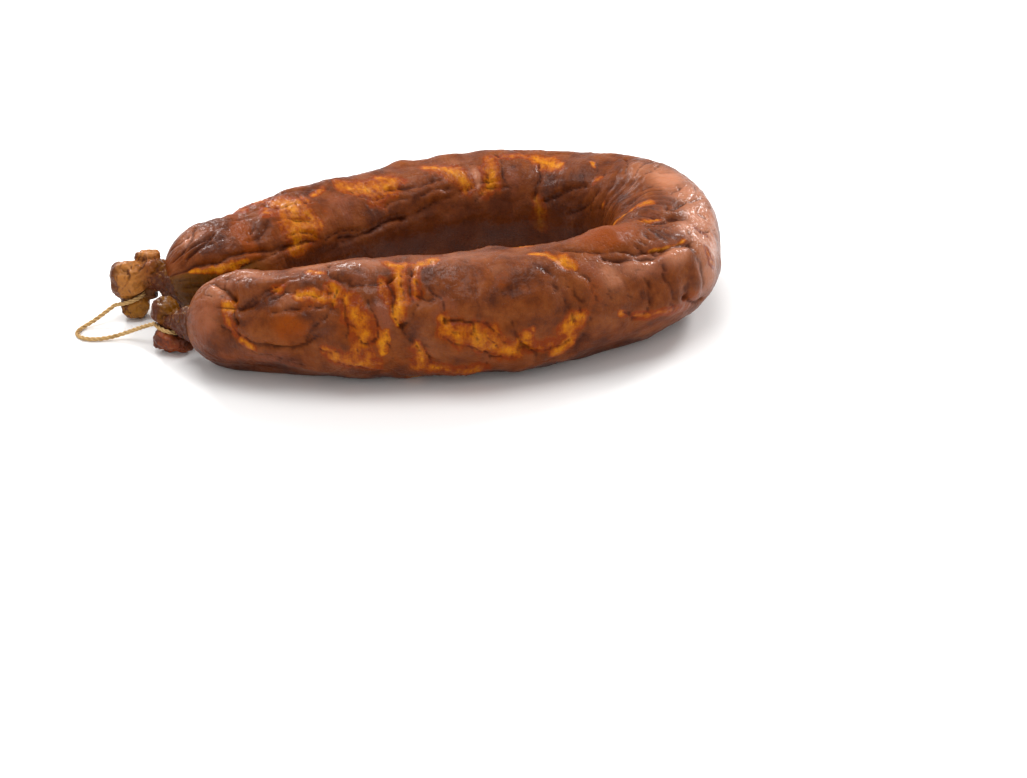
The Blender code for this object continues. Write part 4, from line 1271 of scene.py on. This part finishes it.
def tint_end(mesh, funnel, lobes, neck, looks):
    """Colours each vertex by the lobe or the stretch of funnel that it lies nearest to, blended."""
    co = np.empty(len(mesh.vertices) * 3)
    mesh.vertices.foreach_get("co", co)
    co = co.reshape(-1, 3) / MM + (*PLAN_CENTRE, 0.0)
    marks = [(lobe[:3], sum(lobe[3:6]) / 3, getattr(looks, lobe[6])) for lobe in lobes]
    line, _ = spline_through(funnel, 8)
    # Along the funnel the upper side takes the neck's colour and the lower side the dark colour, darker towards the
    # bottom
    for row in line[:-1]:
        marks.append((row[:3] + (0, 0, 0.5 * row[3]), row[3] * 0.8, getattr(looks, neck)))
        marks.append((row[:3] - (0, 0, 0.6 * row[3]), row[3] * 0.8, looks.dark))
    weights = np.array([np.exp(-((np.linalg.norm(co - m[0], axis=1) / m[1]) ** 2) * 1.6) for m in marks]) + 1e-9
    colours = np.array([list(m[2]) for m in marks])
    mixed = (weights[:, :, None] * colours[:, None, :]).sum(0) / weights.sum(0)[:, None]
    # Painted shade: the sides that face away from the sausage darken to plum
    normals = np.empty(len(mesh.vertices) * 3)
    mesh.vertices.foreach_get("normal", normals)
    beside = (lobes[0][0] - co[:, 0]) / lobes[0][3]
    turned_away_shade = np.maximum(smooth_step(-normals[::3], 0.05, 0.50), smooth_step(beside, 0.35, 0.65))
    turned_away_shade = 0.85 * turned_away_shade[:, None]
    mixed = mixed * (1 - turned_away_shade) + np.array(looks.plum_shade) * turned_away_shade
    layer = mesh.attributes.new("tint", "FLOAT_COLOR", "POINT")
    layer.data.foreach_set("color", np.c_[mixed, np.ones(len(co))].astype(np.float32).ravel())


def twine_tree():
    """Geometry Nodes that lay three plies round a curve and set loose fibres on them."""
    tree = bpy.data.node_groups.new("laid_twine", "GeometryNodeTree")
    face = tree.interface
    face.new_socket("Geometry", in_out="INPUT", socket_type="NodeSocketGeometry")
    for name in ("Diameter", "Lay", "Fibre"):
        face.new_socket(name, in_out="INPUT", socket_type="NodeSocketFloat")
    face.new_socket("Seed", in_out="INPUT", socket_type="NodeSocketInt")
    face.new_socket("Material", in_out="INPUT", socket_type="NodeSocketMaterial")
    face.new_socket("Geometry", in_out="OUTPUT", socket_type="NodeSocketGeometry")
    given = tree.nodes.new("NodeGroupInput").outputs
    result = tree.nodes.new("NodeGroupOutput")

    # Plies that touch: with the ply's radius 1, their middles lie 2 / sqrt(3) out
    ply_offset = 2 / math.sqrt(3)
    ply_share = 0.5 / (1 + ply_offset)
    ply_radius = add(tree, "ShaderNodeMath", {0: given["Diameter"], 1: ply_share}, operation="MULTIPLY")
    ply = add(tree, "GeometryNodeCurvePrimitiveCircle", {"Resolution": 9, "Radius": ply_radius}, mode="RADIUS")
    corner_radius = add(tree, "ShaderNodeMath", {0: ply_radius, 1: ply_offset}, operation="MULTIPLY")
    corner = {"Resolution": 3, "Radius": corner_radius}
    corner = add(tree, "GeometryNodeCurvePrimitiveCircle", corner, mode="RADIUS")
    corners = add(tree, "GeometryNodeCurveToPoints", {"Curve": corner}, pick="Points", mode="EVALUATED")
    plies = add(tree, "GeometryNodeInstanceOnPoints", {"Points": corners, "Instance": ply})
    profile = add(tree, "GeometryNodeRealizeInstances", {"Geometry": plies})

    step = {"Curve": given["Geometry"], "Length": 0.00022}
    line = add(tree, "GeometryNodeResampleCurve", step, mode="LENGTH")
    along = add(tree, "GeometryNodeSplineParameter", pick="Length")
    lays = add(tree, "ShaderNodeMath", {0: along, 1: given["Lay"]}, operation="DIVIDE")
    turns = add(tree, "ShaderNodeMath", {0: lays, 1: 2 * math.pi}, operation="MULTIPLY")
    laid = add(tree, "GeometryNodeSetCurveTilt", {"Curve": line, "Tilt": turns})
    rope = add(tree, "GeometryNodeCurveToMesh", {"Curve": laid, "Profile Curve": profile, "Fill Caps": True})

    # Loose fibres lean every way from where they leave the rope
    scatter = {"Mesh": rope, "Density": 1.1e6, "Seed": given["Seed"]}
    roots = add(tree, "GeometryNodeDistributePointsOnFaces", scatter).node.outputs
    lean = {"Min": (-1.1, -1.1, -3.1), "Max": (1.1, 1.1, 3.1), "Seed": given["Seed"]}
    tip = add(tree, "FunctionNodeRandomValue", lean, data_type="FLOAT_VECTOR")
    turned = {"Rotation": roots["Rotation"], "Rotate By": tip}
    heading = add(tree, "FunctionNodeRotateRotation", turned, rotation_space="LOCAL")
    arc = {
        "Resolution": 5,
        "Start": (0.0, 0.0, 0.0),
        "Middle": (0.35, 0.0, 0.6),
        "End": (0.2, 0.1, 1.0),
    }
    hair_line = add(tree, "GeometryNodeCurveQuadraticBezier", arc)
    thin = add(tree, "GeometryNodeCurvePrimitiveCircle", {"Resolution": 3, "Radius": 0.022}, mode="RADIUS")
    hair = add(tree, "GeometryNodeCurveToMesh", {"Curve": hair_line, "Profile Curve": thin, "Fill Caps": True})
    share = add(tree, "FunctionNodeRandomValue", {2: 0.35, 3: 1.0, "Seed": given["Seed"]}, pick=1)
    size = add(tree, "ShaderNodeMath", {0: share, 1: given["Fibre"]}, operation="MULTIPLY")
    hairs = {"Points": roots["Points"], "Instance": hair, "Rotation": heading, "Scale": size}
    fuzz = add(tree, "GeometryNodeInstanceOnPoints", hairs)
    both = tree.nodes.new("GeometryNodeJoinGeometry")
    tree.links.new(rope, both.inputs[0])
    tree.links.new(fuzz, both.inputs[0])
    solid = add(tree, "GeometryNodeRealizeInstances", {"Geometry": both.outputs[0]})
    dressed = add(tree, "GeometryNodeSetMaterial", {"Geometry": solid, "Material": given["Material"]})
    tree.links.new(dressed, result.inputs[0])
    return tree


def laid_twine(name, points, looks, seed, material):
    """A piece of twine along points in metres, by Geometry Nodes, as a plain mesh at the origin."""
    curve = bpy.data.curves.new(name + "_line", "CURVE")
    curve.dimensions = "3D"
    spline = curve.splines.new("POLY")
    spline.points.add(len(points) - 1)
    for point, place in zip(spline.points, points):
        point.co = (*place, 1.0)
    guide = bpy.data.objects.new(name + "_line", curve)
    bpy.context.scene.collection.objects.link(guide)
    tree = bpy.data.node_groups.get("laid_twine") or twine_tree()
    modifier = guide.modifiers.new("laid_twine", "NODES")
    modifier.node_group = tree
    wanted = {
        "Diameter": looks.diameter,
        "Lay": looks.lay,
        "Fibre": looks.fibre,
        "Seed": seed,
        "Material": material,
    }
    for item in tree.interface.items_tree:
        if item.in_out == "INPUT" and item.name in wanted:
            modifier[item.identifier] = wanted[item.name]
    bpy.context.view_layer.update()
    graph = bpy.context.evaluated_depsgraph_get()
    mesh = bpy.data.meshes.new_from_object(guide.evaluated_get(graph))
    mesh.name = name
    bpy.data.objects.remove(guide)
    if not mesh.polygons:
        raise RuntimeError(f"{name} came out empty")
    # Fibres that would pierce the floor lie flat on it
    places = np.empty(len(mesh.vertices) * 3)
    mesh.vertices.foreach_get("co", places)
    places[2::3] = np.maximum(places[2::3], 0.0)
    mesh.vertices.foreach_set("co", places)
    piece = bpy.data.objects.new(name, mesh)
    bpy.context.scene.collection.objects.link(piece)
    mesh.shade_smooth()
    return piece


def tie_winding(tie, join_turn, join_point, diameter):
    """The route of a tie: it starts under its own turns, goes round, and leaves for the loop's end."""
    (x, y, z), (across, deep), rise = tie
    slope = math.tan(math.radians(rise))
    turns = np.linspace(join_turn + TIE_TURNS * 2 * math.pi, join_turn, 26 * TIE_TURNS)
    share = np.linspace(0, 1, len(turns))
    # The first turn is drawn into the casing, which closes over it
    tucked = 1 - 0.45 * np.clip(2.6 - 3.2 * share, 0, 1)
    px = across * np.cos(turns) * tucked
    py = deep * np.sin(turns) * tucked
    drop = diameter * 0.30 * (1 - 2 * share)
    route = np.stack([x + px, y + py, z + px * slope + drop], axis=1)
    return np.vstack([route, [join_point]])


class SAUSAGE_OT_skin(bpy.types.Operator):
    """Makes the filled casing: one closed skin from tip to tip"""

    bl_idname = "sausage.skin"
    bl_label = "Filled casing"

    def execute(self, context):
        looks = context.scene.sausage_looks
        points, fields, uv = skin_surface(looks)
        rings, sides = points.shape[:2]
        caps = points[[0, -1]].mean(axis=1)
        verts = in_metres(np.vstack([points.reshape(-1, 3), caps]))
        faces = ring_faces(rings, sides).tolist()
        first, last = rings * sides, (rings - 1) * sides
        faces += [(first, (j + 1) % sides, j) for j in range(sides)]
        faces += [(first + 1, last + j, last + (j + 1) % sides) for j in range(sides)]
        material = shaded_material("natural_casing_on_cured_meat", casing_shader, looks)
        skin = mesh_of("sausage_skin", verts.tolist(), faces, material)
        for name, values in fields.items():
            ends = values[[0, -1]].mean(axis=1)
            add_field(skin.data, name, np.concatenate([values.ravel(), ends]))
        self.lay_pattern(skin.data, uv, sides)
        hand_over(skin, "casing", "sausage")
        return {"FINISHED"}

    @staticmethod
    def lay_pattern(mesh, uv, sides):
        """Gives the skin a UV map of its stations and turns, with its seam underneath."""
        layer = mesh.uv_layers.new(name="skin")
        corner_verts = np.empty(len(mesh.loops), int)
        mesh.loops.foreach_get("vertex_index", corner_verts)
        flat = np.vstack([uv.reshape(-1, 2), [[0, 0.5], [1, 0.5]]])
        corners = flat[corner_verts]
        quads = (len(uv) - 1) * sides
        across_seam = corners[: quads * 4].reshape(quads, 4, 2)
        wraps = across_seam[:, :, 1].max(1) - across_seam[:, :, 1].min(1) > 0.5
        turned = across_seam[wraps]
        turned[:, :, 1] += turned[:, :, 1] < 0.5
        across_seam[wraps] = turned
        layer.data.foreach_set("uv", corners.ravel())


class SAUSAGE_OT_tied_ends(bpy.types.Operator):
    """Makes the gathered casing past each end of the meat, with its folded tail"""

    bl_idname = "sausage.tied_ends"
    bl_label = "Gathered ends"

    def execute(self, context):
        looks = context.scene.casing_end_looks
        material = shaded_material("gathered_casing", gathered_shader, looks)
        ends = [
            ("gathered_end_back", BACK_FUNNEL, BACK_LOBES, BACK_TIE, "olive", 3),
            ("gathered_end_front", FRONT_FUNNEL, FRONT_LOBES, FRONT_TIE, "olive", 31),
        ]
        for name, funnel, lobes, tie, neck, seed in ends:
            hand_over(tied_end(name, funnel, lobes, tie, neck, seed, looks, material), "casing", "sausage")
        return {"FINISHED"}


class SAUSAGE_OT_twine(bpy.types.Operator):
    """Winds the twine round both ends and lays the loop between them"""

    bl_idname = "sausage.twine"
    bl_label = "Twine"

    def execute(self, context):
        looks = context.scene.twine_looks
        material = shaded_material("cotton_twine", twine_shader, looks)
        lowest = looks.diameter / 2 / MM + TWINE_LIFT
        route, _ = spline_through(LOOP_ROUTE, 90)
        route[:, 2] = np.maximum(route[:, 2], lowest)
        loop_path = in_metres(route)
        loop = laid_twine("twine_loop_laid", loop_path, looks, 5, material)
        hand_over(loop, "twine", "twine_loop")
        ties = [
            ("twine_tie_back_wound", BACK_TIE, math.radians(-95), route[0], "twine_tie_back", 11),
            ("twine_tie_front_wound", FRONT_TIE, math.radians(-150), route[-1], "twine_tie_front", 17),
        ]
        for name, tie, join_turn, join_point, node, seed in ties:
            winding = tie_winding(tie, join_turn, join_point, looks.diameter / MM)
            smooth, _ = spline_through(winding, 200)
            hand_over(laid_twine(name, in_metres(smooth), looks, seed, material), "twine", node)
        return {"FINISHED"}


class SAUSAGE_OT_studio(bpy.types.Operator):
    """Makes the pale floor, the soft lights and the camera"""

    bl_idname = "sausage.studio"
    bl_label = "Studio"

    def execute(self, context):
        looks = context.scene.studio_looks
        scene = context.scene
        self.add_camera(scene, looks)
        half = 3.0
        corners = [(-half, -half, 0), (half, -half, 0), (half, half, 0), (-half, half, 0)]
        mesh_of("floor", corners, [(0, 1, 2, 3)], shaded_material("white_paper", paper_shader, looks))
        self.add_light("key_softbox", looks.key, 0.16, (0.42, 0.38, 0.40))
        self.add_light("back_softbox", looks.back, 0.16, (-0.30, 0.42, 0.40))
        self.add_light("top_softbox", looks.top, 0.50, (-0.05, -0.02, 0.80))
        world = bpy.data.worlds.new("white_surroundings")
        world.use_nodes = True
        backdrop = world.node_tree.nodes["Background"]
        backdrop.inputs["Color"].default_value = (1.0, 1.0, 1.0, 1.0)
        backdrop.inputs["Strength"].default_value = looks.sky
        scene.world = world
        scene.view_settings.view_transform = "Standard"
        return {"FINISHED"}

    @staticmethod
    def add_camera(scene, looks):
        camera = bpy.data.objects.new("camera", bpy.data.cameras.new("camera"))
        camera.data.lens = looks.lens
        camera.data.clip_start = 0.01
        camera.location = looks.camera
        camera.rotation_euler = (math.pi / 2 - looks.pitch, 0.0, 0.0)
        scene.collection.objects.link(camera)
        scene.camera = camera

    @staticmethod
    def add_light(name, power, side, place):
        light = bpy.data.lights.new(name, "AREA")
        light.energy, light.size = power, side
        lamp = bpy.data.objects.new(name, light)
        lamp.location = place
        lamp.rotation_euler = (Vector((0.0, 0.0, 0.0)) - Vector(place)).to_track_quat("-Z", "Y").to_euler()
        bpy.context.scene.collection.objects.link(lamp)


class SAUSAGE_PT_panel(bpy.types.Panel):
    """Lists the pieces and their looks in the 3D view's sidebar"""

    bl_label = "Cured sausage"
    bl_idname = "SAUSAGE_PT_panel"
    bl_space_type = "VIEW_3D"
    bl_region_type = "UI"
    bl_category = "Sausage"

    def draw(self, context):
        for group, names, operator in PIECES:
            box = self.layout.box()
            for name in names:
                box.prop(getattr(context.scene, group), name)
            box.operator(operator)


PIECES = [
    ("sausage_looks", list(SausageLooks.__annotations__), "sausage.skin"),
    ("casing_end_looks", list(CasingEndLooks.__annotations__), "sausage.tied_ends"),
    ("twine_looks", list(TwineLooks.__annotations__), "sausage.twine"),
    ("studio_looks", list(StudioLooks.__annotations__), "sausage.studio"),
]
GROUPS = {
    "sausage_looks": SausageLooks,
    "casing_end_looks": CasingEndLooks,
    "twine_looks": TwineLooks,
    "studio_looks": StudioLooks,
}
CLASSES = [
    *GROUPS.values(),
    SAUSAGE_OT_skin,
    SAUSAGE_OT_tied_ends,
    SAUSAGE_OT_twine,
    SAUSAGE_OT_studio,
    SAUSAGE_PT_panel,
]


def register():
    for cls in CLASSES:
        bpy.utils.register_class(cls)
    for name, group in GROUPS.items():
        setattr(bpy.types.Scene, name, bpy.props.PointerProperty(type=group))


def unregister():
    for name in GROUPS:
        delattr(bpy.types.Scene, name)
    for cls in reversed(CLASSES):
        bpy.utils.unregister_class(cls)


def main():
    register()
    bpy.ops.sausage.studio()
    bpy.ops.sausage.twine()
    bpy.ops.sausage.skin()
    bpy.ops.sausage.tied_ends()


if __name__ == "__main__":
    main()
